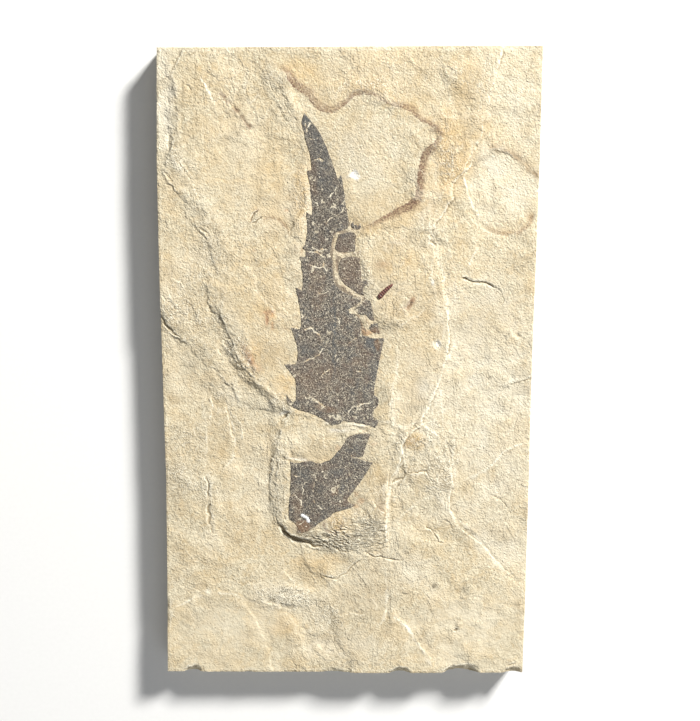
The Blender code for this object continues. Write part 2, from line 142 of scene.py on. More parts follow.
def editWithOnly(piece, kind, chosen):
    # edit mode with just these faces or edges selected
    makeActive(piece)
    mesh = piece.data
    for elements in (mesh.vertices, mesh.edges, mesh.polygons):
        elements.foreach_set("select", np.zeros(len(elements), bool))
    (mesh.polygons if kind == "faces" else mesh.edges).foreach_set("select", chosen)
    bpy.context.tool_settings.mesh_select_mode = (False, kind == "edges", kind == "faces")
    bpy.ops.object.mode_set(mode="EDIT")


def distanceTo(route, x, y, evenly=False):
    # distance to an open line through (x, y) points in mm, its side (left positive) and the share along it
    best = np.full(x.shape, 1.0)
    side = np.ones(x.shape)
    share = np.zeros(x.shape)
    lengths = [1.0 if evenly else math.dist(a, b) for a, b in zip(route, route[1:])]
    whole = sum(lengths)
    gone = 0.0
    for (ax, ay), (bx, by), length in zip(route, route[1:], lengths):
        dx, dy = (bx - ax) * mm, (by - ay) * mm
        px, py = x - ax * mm, y - ay * mm
        t = np.clip((px * dx + py * dy) / (dx * dx + dy * dy), 0.0, 1.0)
        away = np.hypot(px - t * dx, py - t * dy)
        closer = away < best
        best = np.where(closer, away, best)
        side = np.where(closer, np.sign(dx * py - dy * px), side)
        share = np.where(closer, (gone + t * length) / whole, share)
        gone += length
    return best, side, share


def tapered(along, rate, least=0.0):
    # 1 along a line, falling to the least value at its ends
    return np.clip(np.minimum(along, 1.0 - along) * rate, least, 1.0)


def inBlob(x, y, blob):
    # 1 in the middle of an ellipse (x, y, half width, half height, turn) in mm, fading to 0 beyond its edge
    u, v = turned(x - blob[0] * mm, y - blob[1] * mm, blob[4])
    return 1.0 - ease(np.hypot(u / (blob[2] * mm), v / (blob[3] * mm)), 0.55, 1.45)


def strongest(x, y, blobs):
    mask = np.zeros(x.shape)
    for blob in blobs:
        mask = np.maximum(mask, blob[5] * inBlob(x, y, blob))
    return mask


def changedIn(blobs, x, y, values, sign):
    # values made weaker (sign -1) or stronger (sign 1) in each blob, by its strength
    for blob in blobs:
        values = values * (1.0 + sign * blob[5] * inBlob(x, y, blob))
    return values


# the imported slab's face, read as a height map
faceMap = {
    "spacing": 0.2 * mm,     # between the points that are read
    "softness": 4.0 * mm,    # how far the blurred copy spreads, where a ledge fades out
    "filmRim": 0.5 * mm,     # stone this close to a film is level with the leaf's bed
    "leafBed": 11.0 * mm,
}
filmNodes = sorted(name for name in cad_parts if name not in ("stone_plate", "twig_fragment"))


def lookDown(node, xs, ys):
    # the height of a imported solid's top at each place, not a number where it isn't
    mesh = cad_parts[node].data
    tree = BVHTree.FromPolygons([v.co for v in mesh.vertices], [p.vertices for p in mesh.polygons])
    low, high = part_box(node)
    down = Vector((0, 0, -1))
    seen = np.full((len(ys), len(xs)), np.nan)
    for row, y in enumerate(ys):
        if not low.y <= y <= high.y:
            continue
        for column, x in enumerate(xs):
            if low.x <= x <= high.x:
                hit = tree.ray_cast(Vector((x, y, 1.0)), down)[0]
                if hit is not None:
                    seen[row, column] = hit.z
    return seen


def grow(mask, steps):
    for step in range(steps):
        wide = mask.copy()
        wide[1:] |= mask[:-1]
        wide[:-1] |= mask[1:]
        wide[:, 1:] |= mask[:, :-1]
        wide[:, :-1] |= mask[:, 1:]
        mask = wide
    return mask


def blurred(field, radius):
    # two box blurs in each direction
    reach = max(1, int(round(radius / faceMap["spacing"])))
    kernel = np.ones(2 * reach + 1) / (2 * reach + 1)
    padded = np.pad(field, reach * 2, mode="edge")
    for turn in range(2):
        padded = np.apply_along_axis(np.convolve, 0, padded, kernel, mode="same")
        padded = np.apply_along_axis(np.convolve, 1, padded, kernel, mode="same")
    return padded[reach * 2:-reach * 2, reach * 2:-reach * 2]


mapXs = np.arange(cadLow.x - 1 * mm, cadHigh.x + 1 * mm, faceMap["spacing"])
mapYs = np.arange(cadLow.y - 1 * mm, cadHigh.y + 1 * mm, faceMap["spacing"])
neighbours = ((1, 0), (-1, 0), (1, 1), (-1, 1))    # shift and axis
face = lookDown("stone_plate", mapXs, mapYs)
while np.isnan(face).any():  # carry the rim outwards
    for shift, axis in neighbours:
        face = np.where(np.isnan(face), np.roll(face, shift, axis), face)
filmMask = np.zeros(face.shape, bool)
for filmNode in filmNodes + ["twig_fragment"]:
    filmMask |= ~np.isnan(lookDown(filmNode, mapXs, mapYs))
rimSteps = int(faceMap["filmRim"] / faceMap["spacing"]) + 1
face[grow(filmMask, rimSteps)] = faceMap["leafBed"]
sharpFace = 0.5 * face + 0.125 * sum(np.roll(face, shift, axis) for shift, axis in neighbours)
softFace = blurred(face, faceMap["softness"])
underFilm = blurred(grow(filmMask, 1).astype(float), 0.4 * mm)
nearFilm = blurred(grow(filmMask, 3).astype(float), 1.0 * mm)
print("face read at", face.size, "points")


def readMap(field, x, y):
    u = np.clip((x - mapXs[0]) / faceMap["spacing"], 0, len(mapXs) - 1.001)
    v = np.clip((y - mapYs[0]) / faceMap["spacing"], 0, len(mapYs) - 1.001)
    column, row = u.astype(int), v.astype(int)
    s, t = u - column, v - row
    near = field[row, column] * (1 - s) + field[row, column + 1] * s
    far = field[row + 1, column] * (1 - s) + field[row + 1, column + 1] * s
    return near * (1 - t) + far * t


stone = {
    "cell": 0.72 * mm,            # width of the face's mesh cells
    "firstStep": 0.087 * mm,      # a cell whose corners differ by more than this in height is halved,
    "secondStep": 0.112 * mm,     # and with this difference once more
    "sideRows": 6,
    "sideBow": 0.05 * mm,
    "sideRoughness": 0.035 * mm,
    "ledgeRaggedness": 0.30 * mm,
    "splitLedges": [0.34, 0.27, 0.22, 0.17],   # how a ledge's height is shared by its thin layers
    "splitWidth": 0.9 * mm,       # how far apart those layers stray
    "ledgeSlope": 0.14,           # half width of a thin ledge's slope, in mm
    "cutSlope": 0.12,
    "swell": 0.16 * mm,           # long waves in the bed
    "feather": 0.035 * mm,        # slanting ripples on the left
    "thinBed": 0.05 * mm,
    "grain": 0.030 * mm,
    "wornEdge": 0.40 * mm,
    "wornDrop": 0.10 * mm,
    "headroom": 0.3 * mm,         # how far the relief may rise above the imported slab
}

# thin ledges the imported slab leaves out: height, fade and route in mm, higher on the left of the route
thinLedges = [
    (0.16, 5, [(-34, 70), (-35.5, 73), (-36.6, 76), (-38.6, 78.6)]),
    (0.07, 5, [(-23, 62.4), (-25.2, 65.2), (-28, 68.6), (-31, 71.6), (-33, 74), (-34.6, 74.8)]),
    (0.13, 3, [(-35, 37), (-36.6, 43), (-39, 46.5), (-40, 50), (-41, 52.8), (-44.6, 58)]),
    (0.12, 2, [(-38, 46), (-39.8, 46.4), (-41, 47.2), (-42.4, 49), (-44.8, 50.8), (-46, 51)]),
    (0.14, 2.5, [(-34, 35.6), (-35.4, 37.2), (-36.8, 38.8), (-38.4, 39.6)]),
    (0.12, 2, [(-36.4, 33.8), (-37, 36), (-38.2, 38.4), (-39.6, 39.8)]),
    (0.19, 3, [(-36.6, -14), (-36.8, -11), (-36.4, -8), (-37, -5.4)]),
    (0.22, 3, [(-30.6, -21), (-31.4, -17), (-32.2, -12.4), (-33.4, -8)]),
    (0.16, 3, [(-28, -19), (-28.4, -15), (-29.6, -12.6), (-31, -10.8)]),
    (0.13, 3, [(-33.9, 4), (-34.6, 7), (-34.2, 10)]),
    (0.12, 3, [(-21.6, -2), (-25, -1.2), (-26.4, -1.4), (-28.6, 1)]),
    (0.16, 3, [(-18, -5.4), (-20.4, -4.6), (-22.6, -3.2), (-25, -2.2)]),
    (0.12, 3, [(-27, -29.5), (-29.4, -27.2), (-31, -25)]),
    (0.12, 3, [(22.6, 43.2), (24.8, 42.8), (27.2, 43)]),
    (0.22, 4, [(24.8, -31), (23, -29), (21.4, -27.6), (18.8, -27.8), (16.4, -27.6)]),
    (0.2, 3, [(16, -28.9), (14.4, -29.4), (11.6, -30.8)]),
    (0.18, 4, [(28.4, -48.4), (26, -47.4), (24.8, -45.2), (22.2, -43.8), (20.2, -41.2)]),
    (0.14, 3, [(25.8, -43), (24.6, -41.6), (22.4, -41)]),
    (0.18, 3, [(23.4, -47.3), (21, -46.8), (19.6, -46)]),
    (0.13, 4, [(34.6, -44.6), (33.2, -42.4), (31, -42.2), (29.6, -41.2), (28.4, -38.6)]),
    (0.1, 4, [(39.6, 15), (41.2, 18.6), (41.6, 21.4), (40.4, 22.6)]),
    (0.1, 5, [(48, -39.8), (44.4, -39.2), (43, -37.6)]),
    (0.14, 4, [(18.4, 80.2), (16.8, 82.4), (15.8, 85)]), (0.1, 5, [(39.8, 80.4), (38.2, 83), (36, 85)]),
    (0.11, 4, [(9.6, 82), (11, 80.6), (12.8, 80)]), (0.1, 4, [(26.4, 27.6), (23.4, 26.6), (21.6, 25.2)]),
    (0.12, 4, [(8.2, 12.1), (10.2, 12.2), (12.2, 13), (14.6, 14.2)]),
    (0.1, 5, [(-0.4, -42.4), (-2.4, -44.2), (-4.6, -45), (-6.2, -43.6)]),
    (0.18, 4, [(10.8, -39.8), (9.4, -38.4), (7.2, -36), (5, -34.9)]),
    (0.1, 6, [(-24, -61.2), (-26, -59.8), (-28.4, -59.4)]),
    (0.16, 4, [(-15.4, -59.4), (-16.8, -57.2), (-17.8, -55.4)]),
    (0.12, 4, [(-3.6, -76.4), (-1.8, -78.2), (-0.8, -81)]),
    (0.12, 4, [(11.4, -58), (11.2, -61), (11.6, -64.6)]),
    (0.1, 4, [(-20.8, -78.2), (-22, -76), (-23, -73.4)]),
    (0.12, 4, [(-40.4, -52.9), (-42, -52.8), (-43.4, -51.2), (-44.4, -49.4)]),
    (0.15, 1.6, [(37, 40.4), (34.5, 42.6), (32.4, 45.4), (31.3, 48.6), (31, 52), (31.6, 55.4), (33.2, 58)]),
    (0.12, 1.6, [(35, 59), (38.4, 59.4), (42, 58.4), (45, 56), (48, 53.4), (50.4, 51.4)]),
    (0.12, 1.4, [(36.4, 39), (39, 37.6), (42.4, 37.1), (45.6, 37.6), (48, 39.6), (49.8, 44)]),
    (0.16, 1.6, [(-4.2, -20.6), (-6.4, -19.6), (-6.2, -17.4), (-7.8, -16.2), (-6.2, -14.4), (-3.6, -13.9)]),
    (0.12, 1.4, [(-2.4, -15), (-1.4, -17.2), (-2.6, -18.4), (-4, -20.8)]),
    (0.12, 1.6, [(0.4, -14.2), (3.4, -14.8), (6.2, -14.4), (8.2, -15.6)]),
    (0.1, 3, [(22, -12.6), (17, -16.4), (15.2, -21), (14.2, -25.4), (12, -29.6)]),
    (0.14, 3, [(15.2, -21.6), (13.8, -19.8), (12.6, -22.4), (11.8, -25.6)]),
    (0.13, 3, [(30, -40), (33.6, -43.8), (37.8, -48.4), (42, -53.4), (46.6, -57.8), (50.4, -60.4)]),
    (0.07, 4, [(27, 20), (27.6, 12), (26.6, 5), (24.6, -2), (22.4, -8), (19.8, -14)]),
    (0.1, 3, [(24, 43), (25.4, 38), (26.8, 32), (27.2, 25), (27, 20)]),
]

# straight cuts beside the leaf, not ragged: rise, fade, route in mm, higher on the left of the route
straightLedges = [
    (0.2, 2.4, [(10.7, -51), (10.7, -42), (10.9, -34), (11.4, -25)]),
    (0.1, 2, [(11.5, -14), (11.7, -6), (12.1, 0.5)]),
]

# raised pale lines where thin beds end: width, rise, whiteness and route in mm
paleLines = [
    (0.6, 0.05, 0.7, [(-33, -7), (-31.4, -12), (-30.6, -18), (-31.4, -24), (-34.4, -28)]),
    (0.6, 0.05, 0.6, [(-38.6, -6), (-38.8, -12), (-38.2, -19), (-38.8, -26)]),
    (0.5, 0.05, 0.6, [(-37, -30), (-37.6, -36), (-36.8, -42)]),
    (0.6, 0.04, 0.55, [(22.5, 33), (22, 26), (24, 19), (25.8, 13), (25.4, 6)]),
    (0.6, 0.04, 0.5, [(24.6, 40), (27.2, 33), (28.8, 26), (28.6, 18)]),
    (0.6, 0.05, 0.6, [(23, -3.6), (23.6, -9), (22.6, -13), (24.4, -18), (25.6, -24)]),
    (0.6, 0.05, 0.55, [(27.4, -12.6), (29, -18), (28.6, -24), (30.4, -29.6)]),
    (0.6, 0.05, 0.5, [(21, -13.4), (22, -18), (21, -23), (23.2, -28)]),
    (0.8, 0.04, 0.6, [(29, 12), (28.3, 6.7), (25.9, 2), (24.2, -3.3), (21.9, -9.3), (19.8, -13.3)]),
    (0.7, 0.05, 0.5, [(24.9, -3.3), (25.7, -10), (25.9, -15.3), (26.9, -16.7)]),
    (0.7, 0.06, 0.75, [(13.4, 12), (13.4, 2), (12.4, -3.3), (11.7, -12)]),
    (0.8, 0.06, 0.6, [(8, -13.3), (11.4, -13.3), (14.8, -15.3), (19.2, -13.3)]),
    (0.8, 0.08, 0.75, [(16.1, -16.7), (14.8, -20), (15.1, -24.7), (12.4, -29.3)]),
    (0.9, 0.04, 0.85, [(12, -30), (11.3, -33), (11.1, -36.7), (11, -43), (11, -49.8)]),
    (0.9, 0.04, 0.8, [(11.1, -41.4), (11, -46), (11, -51)]),
    (0.7, 0.05, 0.65, [(26.2, -16.7), (28.3, -22), (29.6, -30)]),
    (0.7, 0.13, 0.95, [(30.3, -30.3), (35, -28.7), (39, -26), (42.4, -22), (48.5, -19.3)]),
    (0.4, 0.03, 0.8, [(40.6, -3.7), (44, -2.5), (47, -1.6), (50.4, -0.6)]),
    (0.7, 0.07, 0.7, [(20.8, -30), (24.5, -34), (28.9, -40), (33, -43.3), (37, -48), (42.2, -55),
        (48, -59.4)]),
    (0.6, 0.05, 0.5, [(24.2, -33.7), (19.5, -36), (15.4, -39.3), (13.4, -42.7)]),
    (0.6, 0.05, 0.5, [(18.8, -46.7), (21.5, -48), (25.5, -47.3)]),
    (0.7, 0.04, 0.6, [(21.4, 41), (23, 34), (25.6, 26), (26.5, 20), (27.8, 9.7)]),
    (0.5, 0.06, 0.8, [(32.1, 62.6), (32.7, 56.5), (30.4, 52.6), (31.7, 47), (33.9, 42.7), (37, 39.4)]),
    (0.4, 0.05, 0.6, [(23.2, 56.5), (22.8, 52), (23.2, 48.7), (25.6, 44.4), (26, 37.5)]),
    (0.5, 0.09, 0.8, [(33, 36.6), (34.7, 34), (32.7, 30.5), (31.7, 26.2)]),
    (0.4, 0.04, 0.4, [(41.2, 78.2), (38.2, 76), (37, 73), (36.4, 67.4), (35.1, 63.5)]),
    (0.4, 0.03, 0.35, [(25.2, 80.8), (25.6, 75), (26.4, 72), (28.2, 70.4)]),
    (0.4, 0.04, 0.4, [(29.9, 22.7), (33, 18.4), (38.6, 16.6)]),
    (0.5, 0.05, 0.5, [(13.5, 12.3), (19.5, 16.6), (20.8, 18.4)]),
    (0.7, 0.05, 0.5, [(10, 34.9), (12.6, 35.3), (15.6, 34)]),
    (0.9, 0.14, 1.1, [(12.2, -68.3), (16.7, -72.2), (20.6, -78.9), (23.9, -84.4)]),
    (0.8, 0.06, 0.7, [(-42, -61.7), (-37.8, -62.2), (-32.2, -62.8), (-25.6, -65)]),
    (0.5, 0.05, 0.55, [(-16.7, -56.7), (-14.4, -60)]),
    (0.9, 0.06, 0.7, [(10.6, -54.4), (11, -62), (10.6, -69), (7.8, -73.3)]),
    (0.5, 0.05, 0.45, [(-28, 29.3), (-25.1, 26.7), (-24, 22.7), (-21.7, 19.2), (-18.5, 15.7)]),
    (0.5, 0.05, 0.45, [(-49.4, 23.8), (-47.7, 20.9), (-46, 18.6)]),
    (0.6, 0.05, 0.5, [(-44.5, 9.9), (-40.2, 9.4), (-37.6, 6.5), (-36.7, 3)]),
    (0.6, 0.05, 0.5, [(-37, 2.4), (-34.4, -0.5), (-32.7, -2.8)]),
    (0.6, 0.06, 0.6, [(-30.3, -5.7), (-29.2, -8.6), (-25.7, -9.4)]),
    (0.5, 0.04, 0.45, [(-36.4, -2.8), (-37, -7.4), (-36.1, -11.4)]),
    (0.5, 0.04, 0.35, [(-18.8, 5.3), (-17, 0.7), (-15.3, -5.1)]),
    (0.45, 0.05, 0.75, [(-38.5, 78.5), (-37, 76.5), (-35.5, 73), (-34, 70)]),
    (0.6, 0.08, 0.8, [(-48.4, -67), (-44, -64.6), (-40, -62.5)]),
    (0.5, 0.05, 0.55, [(-26.1, 77.7), (-26.4, 73.2), (-25, 71), (-23.3, 73.2), (-23.6, 74.9)]),
    (0.5, 0.05, 0.45, [(-34.4, 82), (-32, 84), (-29, 84.4)]),
    (0.5, 0.05, 0.45, [(-20.8, 81.4), (-18.6, 78.2), (-16.4, 76.2)]),
    (0.5, 0.05, 0.45, [(-15.4, 53.4), (-12.6, 53.8), (-11, 53)]),
    (0.5, 0.05, 0.4, [(-14.8, 50.8), (-12.4, 47.6), (-11, 44.6)]),
]

# beds whose edges hardly show: x, y, half width, half height, turn in mm, and by how much they fade
fadedLedges = [
    (8, -60, 6, 9, 0, 0.85), (-4, -77, 6, 9, 0, 0.8), (11.8, -40, 1.6, 14, 0, 0.75),
    (6, -68, 10, 4, 0, 0.55), (13, -52, 4, 4, 0, 0.75), (-38, -1, 6, 4, -45, 0.45),
    (-29, 22, 6, 8, 0, 0.55), (-24, -66, 14, 6, 0, 0.35), (-20, -76, 4, 8, 0, 0.45),
    (-30, 11, 4, 6, 25, 0.4), (-18.6, -17, 1.8, 8, 5, 0.65), (-17, 73, 4, 9, 30, 0.45),
    (26.5, 24, 4, 20, 5, 0.45), (22, -3, 4, 12, -20, 0.4), (29, 50, 3, 8, 25, 0.45),
    (-40.5, 5.5, 3.5, 2.5, -40, 0.5), (-44.6, 64, 2, 14, 3, 0.4), (36, 76, 3, 10, 0, 0.4),
    (-13, 52, 2.5, 9, 0, 0.55), (-6.5, -49, 3, 1.6, -10, 0.6), (-20, -8, 5, 4, -40, 0.2),
    (39.6, 6, 2.2, 11, 0, 0.95), (19.2, -18.4, 2.2, 2.4, 0, 0.9),
]

# where the bed is level and fine: x, y, half width, half height, turn in mm, strength
smoothAreas = [
    (39, 4, 12, 22, 0, 0.95), (38, -62, 13, 19, 0, 0.85), (-34, -76, 17, 10, 0, 1), (4, 57, 10, 12, 0, 0.8),
    (32, -76, 17, 9, 0, 1), (42, 46, 8, 10, 0, 0.8), (-34, -42, 14, 14, 0, 0.6), (-28, 57, 13, 15, 0, 0.85),
    (-44, -24, 6, 20, 0, 0.45), (43, 73, 9, 12, 0, 0.45), (-18, 45, 5, 14, 0, 0.6),
]
gentleAreas = [
    (-34, -76, 20, 12, 0, 1), (32, -75, 20, 12, 0, 1), (-28, 57, 13, 15, 0, 0.4), (0, -74, 12, 9, 0, 0.3),
]

# where a ledge runs straight: x, y, half width, half height, turn in mm, strength
straightSpots = [(46.5, -2.8, 7, 2.4, 15, 0.92)]

# where a ledge breaks down over a wider strip: x, y, half width, half height, turn in mm, and how much wider
widerSplits = [
    (-30, 10, 5, 8, 25, 1.3), (-23, 0, 5, 7, 40, 1), (-38, 42, 6, 12, 25, 0.7), (-17, 74, 4, 8, 30, 0.8),
]

# narrow grooves and cracks: width, depth and route in mm
thinGrooves = [
    (0.5, 0.26, [(12, -30.5), (13.6, -29.6), (15.3, -29.1)]),
    (0.45, 0.22, [(15.3, -27.6), (17.6, -27.9), (19.6, -27.3), (21.3, -27.2), (22.6, -29.2),
        (23.9, -31.1)]),
    (0.38, 0.2, [(21, -42.2), (23.6, -44.8), (25.2, -47.4), (28, -48.6)]),
    (0.28, 0.12, [(33.2, -29.5), (35.6, -30.8), (37.9, -32.5)]),
    (0.28, 0.14, [(38.5, -33.8), (42.5, -35.8), (44.4, -38.4), (46.2, -40.4)]),
    (0.3, 0.26, [(30.2, 25.8), (31.2, 25.4), (32, 24.7), (34.5, 24.6), (37, 24.3), (40, 22.8)]),
    (0.48, 0.36, [(30.3, 25.7), (31, 25.3), (31.6, 25.1)]),
    (0.3, 0.14, [(40, 22.8), (41.3, 21.3), (41.5, 19.6), (40.6, 17.4)]),
    (0.5, 0.2, [(-38.3, -28), (-38.6, -29.6), (-37.9, -31), (-38.2, -33.4), (-37.5, -35)]),
    (0.6, 0.18, [(-37.6, -36), (-38.1, -38), (-37.6, -40.6), (-38.1, -42), (-37.7, -43.6)]),
    (0.4, 0.16, [(-37.9, -43.5), (-37.2, -45), (-36.2, -45.6)]),
    (0.5, 0.2, [(-8.6, -57.1), (-5.5, -57.9), (-3, -58.1), (-0.6, -56.6), (1.8, -54.2), (4.1, -52.3)]),
    (0.46, 0.24, [(4.1, -52.3), (5.5, -51), (6.6, -51.6), (9, -52.1), (11.6, -52.3), (13.4, -52.6),
        (15.6, -53.3)]),
    (0.8, 0.13, [(-35, 75), (-33, 73.9), (-31, 71.6), (-28, 68.6), (-25.4, 65.2), (-23.4, 62.6)]),
    (0.35, 0.16, [(-47.8, 50.8), (-46, 49.8), (-44.6, 48), (-43.2, 47.6)]),
    (0.35, 0.16, [(-48.2, 54.4), (-46.8, 52.6), (-45.6, 50.8)]),
    (0.35, 0.14, [(-44.4, 56.8), (-42.6, 53.6), (-40.4, 50.6), (-38.9, 46.6)]),
    (0.4, 0.18, [(-41.7, 43.4), (-40.8, 41), (-40, 39.4), (-38.2, 38.8), (-36.2, 36.6)]),
    (0.3, 0.14, [(-39.4, 38.6), (-38.2, 36.4), (-37, 35.4)]),
    (0.3, 0.12, [(-22, 79.2), (-19.4, 75), (-16.8, 70.8), (-14.2, 66.6)]),
    (0.3, 0.12, [(-20.4, 77.6), (-17.6, 73.2), (-15.2, 69.6), (-13.4, 67.4)]),
    (0.3, 0.1, [(-18.8, 77), (-16.2, 72.6), (-13.6, 69.4)]),
    (0.3, 0.1, [(-19.8, 73.8), (-17.8, 70.2), (-15.4, 66)]),
    (0.3, 0.1, [(-14.6, 65.2), (-13.4, 62.8), (-12.4, 60.2)]),
    (0.38, 0.26, [(-25.6, 40.2), (-25.2, 41.4), (-24, 42.8), (-23, 43.6)]),
    (0.38, 0.24, [(-25.4, 39.8), (-24.4, 40.2), (-23, 41.6), (-22.2, 42.3)]),
    (0.3, 0.1, [(-22.4, 41.2), (-20, 41.5), (-18, 40.9), (-16.6, 39.6), (-15.2, 36.6), (-14.6, 34.8)]),
    (0.3, 0.12, [(-17.2, 42), (-16.4, 40.2), (-15.6, 38.8)]),
    (0.3, 0.12, [(-16.8, 43.8), (-15.8, 44.2), (-15.2, 43.4), (-16.2, 42.8), (-16.9, 43.2)]),
    (0.5, 0.14, [(5, 62.2), (6.4, 61.2)]), (0.3, 0.12, [(42.4, 10.2), (43.2, 10.6), (43.8, 10.1)]),
    (0.3, 0.12, [(40.2, 8.6), (41.2, 8.8), (41.8, 9.4)]),
    (0.4, 0.2, [(22.2, 35.6), (22.8, 34.8), (23.6, 34.6)]),
    (0.4, 0.12, [(23.4, 35.2), (24.4, 35.8), (25.4, 34.8)]),
    (0.4, 0.22, [(-42, 76), (-41, 75.4), (-40, 74.4)]),
    (0.45, 0.2, [(-32.4, 10.6), (-31.4, 9.4), (-30.8, 10)]),
    (0.4, 0.2, [(44.4, -83.6), (46, -83.4), (47.6, -83.1)]),
    (0.35, 0.16, [(16.8, 20.2), (17.2, 19.2), (16.4, 18), (15.2, 16.6)]),
    (0.3, 0.16, [(42.6, -3.7), (46, -2.6), (50.8, -1.2)]), (0.35, 0.14, [(-49.8, 24.6), (-48.2, 24.8)]),
    (0.6, 0.45, [(-50.8, 16.4), (-49.4, 14.4), (-47.8, 12.2), (-46.4, 10.8), (-44.6, 9.2)]),
    (1.15, 0.46, [(-18.8, -41.6), (-17.8, -43.8), (-16.4, -45.4), (-14.4, -46.8), (-12.4, -47.5)]),
    (0.45, 0.2, [(-13.4, -47.2), (-9.6, -48.6), (-6.4, -49.4)]),
    (0.35, 0.14, [(-50, 22.4), (-48.4, 19.8), (-46.8, 18.4), (-45.6, 17.2), (-44.8, 15.8)]),
]

# strokes of the chisel: where they lie (corners in mm), their slant, how many, how long and how deep
chiselStrokes = [
    {"corners": (-12, -50.8, 0, -43), "slant": -22, "spread": 22,
     "count": 360, "length": 2.1, "depth": 0.55,
     "lowerEdge": [(-12, -46.7), (-6, -49), (0, -50.8)],
     "upperEdge": [(-12, -46.4), (-8, -45.6), (-4, -44.6), (0, -42.6)]},
    {"corners": (-1, -50.6, 10.4, -40), "slant": 4, "spread": 20,
     "count": 200, "length": 2.6, "depth": 0.26,
     "lowerEdge": [(-1, -50.6), (10.6, -50.2)],
     "upperEdge": [(-1, -42.8), (4, -41.4), (10.6, -40)]},
    {"corners": (0, -42.6, 10.4, -34), "slant": 14, "spread": 20,
     "count": 60, "length": 1.8, "depth": 0.14,
     "lowerEdge": [(0, -42.6), (10.6, -42.6)],
     "upperEdge": [(0, -41), (3, -38.4), (6, -36), (10.6, -34)]},
    {"corners": (-21, -43, -16.6, -17), "slant": -58, "spread": 20,
     "count": 300, "length": 1.4, "depth": 0.14,
     "lowerEdge": [(-24, -44), (-10, -44)],
     "upperEdge": [(-24, -14), (-10, -14)]},
    {"corners": (-34, -5, -24, 15), "slant": -48, "spread": 18,
     "count": 150, "length": 1.5, "depth": 0.15,
     "lowerEdge": [(-35, -6), (-23, -6)],
     "upperEdge": [(-34, 17), (-31, 13), (-27, 4), (-24, 1)]},
]

# shallow broken spots: x, y, half width, half height, turn, depth, in mm
brokenSpots = [
    (24.3, 7.8, 0.7, 1, 0, 0.2), (30.1, -72.9, 0.35, 0.5, 0, 0.18), (-20, -64.6, 3, 1.2, -10, 0.14),
    (-12.6, -73.6, 2, 1.2, -30, 0.12), (-16.8, -66.4, 2.4, 0.8, -10, 0.14), (31, -62.4, 2.4, 1.8, -30, 0.1),
    (19, -14.4, 2, 0.6, 25, 0.16), (-35.8, 16.9, 1.6, 0.9, -30, 0.18), (-31.8, 8, 1.2, 1.8, 10, 0.2),
    (16.4, 17.4, 0.9, 1.6, -35, 0.1), (-46.2, 61.4, 0.7, 2, 0, 0.16), (-16, -62.5, 3.4, 0.8, 5, 0.16),
    (24.4, 44.6, 1.6, 2, 0, 0.08),
]


def chiselMarks(x, y):
    marks = np.zeros(x.shape)
    for index, area in enumerate(chiselStrokes):
        random = np.random.default_rng(40 + index)
        lowX, lowY, highX, highY = area["corners"]
        for stroke in range(area["count"]):
            startX = random.uniform(lowX, highX)
            startY = random.uniform(lowY, highY)
            turn = math.radians(area["slant"] + area["spread"] * random.uniform(-1, 1))
            half = area["length"] * random.uniform(0.3, 0.6)
            bow = random.uniform(-0.4, 0.4) * half
            depth = area["depth"] * random.uniform(0.4, 1.0)
            upper = np.interp(startX, *zip(*area["upperEdge"]))
            lower = np.interp(startX, *zip(*area["lowerEdge"]))
            if not lower < startY < upper:
                continue
            along = (math.cos(turn), math.sin(turn))
            route = [
                (startX - along[0] * half, startY - along[1] * half),
                (startX - along[1] * bow, startY + along[0] * bow),
                (startX + along[0] * half, startY + along[1] * half),
            ]
            near = np.abs(x - startX * mm) + np.abs(y - startY * mm) < (half * 1.6 + 1) * mm
            if not near.any():
                continue
            away, side, share = distanceTo(route, x[near], y[near])
            lip = np.where(side > 0, 0.10 * mm, 0.34 * mm)  # steep above, gentle below
            cut = (1.0 - ease(away, 0.0, lip + 0.14 * mm)) * np.sin(np.pi * np.clip(share, 0.04, 0.96))
            marks[near] = np.maximum(marks[near], depth * mm * cut)
    return marks


def outlineSide(keep, along, value):
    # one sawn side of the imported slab, as a function
    corners = [v.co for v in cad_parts["stone_plate"].data.vertices if v.co.z < 0.05 * mm]
    places = sorted({(round(along(c), 6), round(value(c), 6)) for c in corners if keep(c)})
    return lambda at: np.interp(at, [p[0] for p in places], [p[1] for p in places])


leftEdge = outlineSide(lambda c: c.x < -48 * mm, lambda c: c.y, lambda c: c.x)
rightEdge = outlineSide(lambda c: c.x > 48 * mm, lambda c: c.y, lambda c: c.x)
bottomEdge = outlineSide(lambda c: c.y < -84 * mm, lambda c: c.x, lambda c: c.y)
topEdge = outlineSide(lambda c: c.y > 84 * mm, lambda c: c.x, lambda c: c.y)


def edgeDistances(x, y):
    # how far inside the sawn sides a point lies, across and along the slab
    return np.minimum(x - leftEdge(y), rightEdge(y) - x), np.minimum(y - bottomEdge(x), topEdge(x) - y)


def edgeDistance(x, y):
    return np.minimum(*edgeDistances(x, y))


def ledgeLift(x, y, rise, fade, route, slope, rate):
    # a step up on the left of the route, which fades out behind its edge
    away, side, along = distanceTo(route, x, y)
    signed = away * side
    lift = ease(signed, -slope * mm, slope * mm) * np.exp(-np.maximum(signed, 0) / (fade * mm))
    return rise * mm * tapered(along, rate) * lift


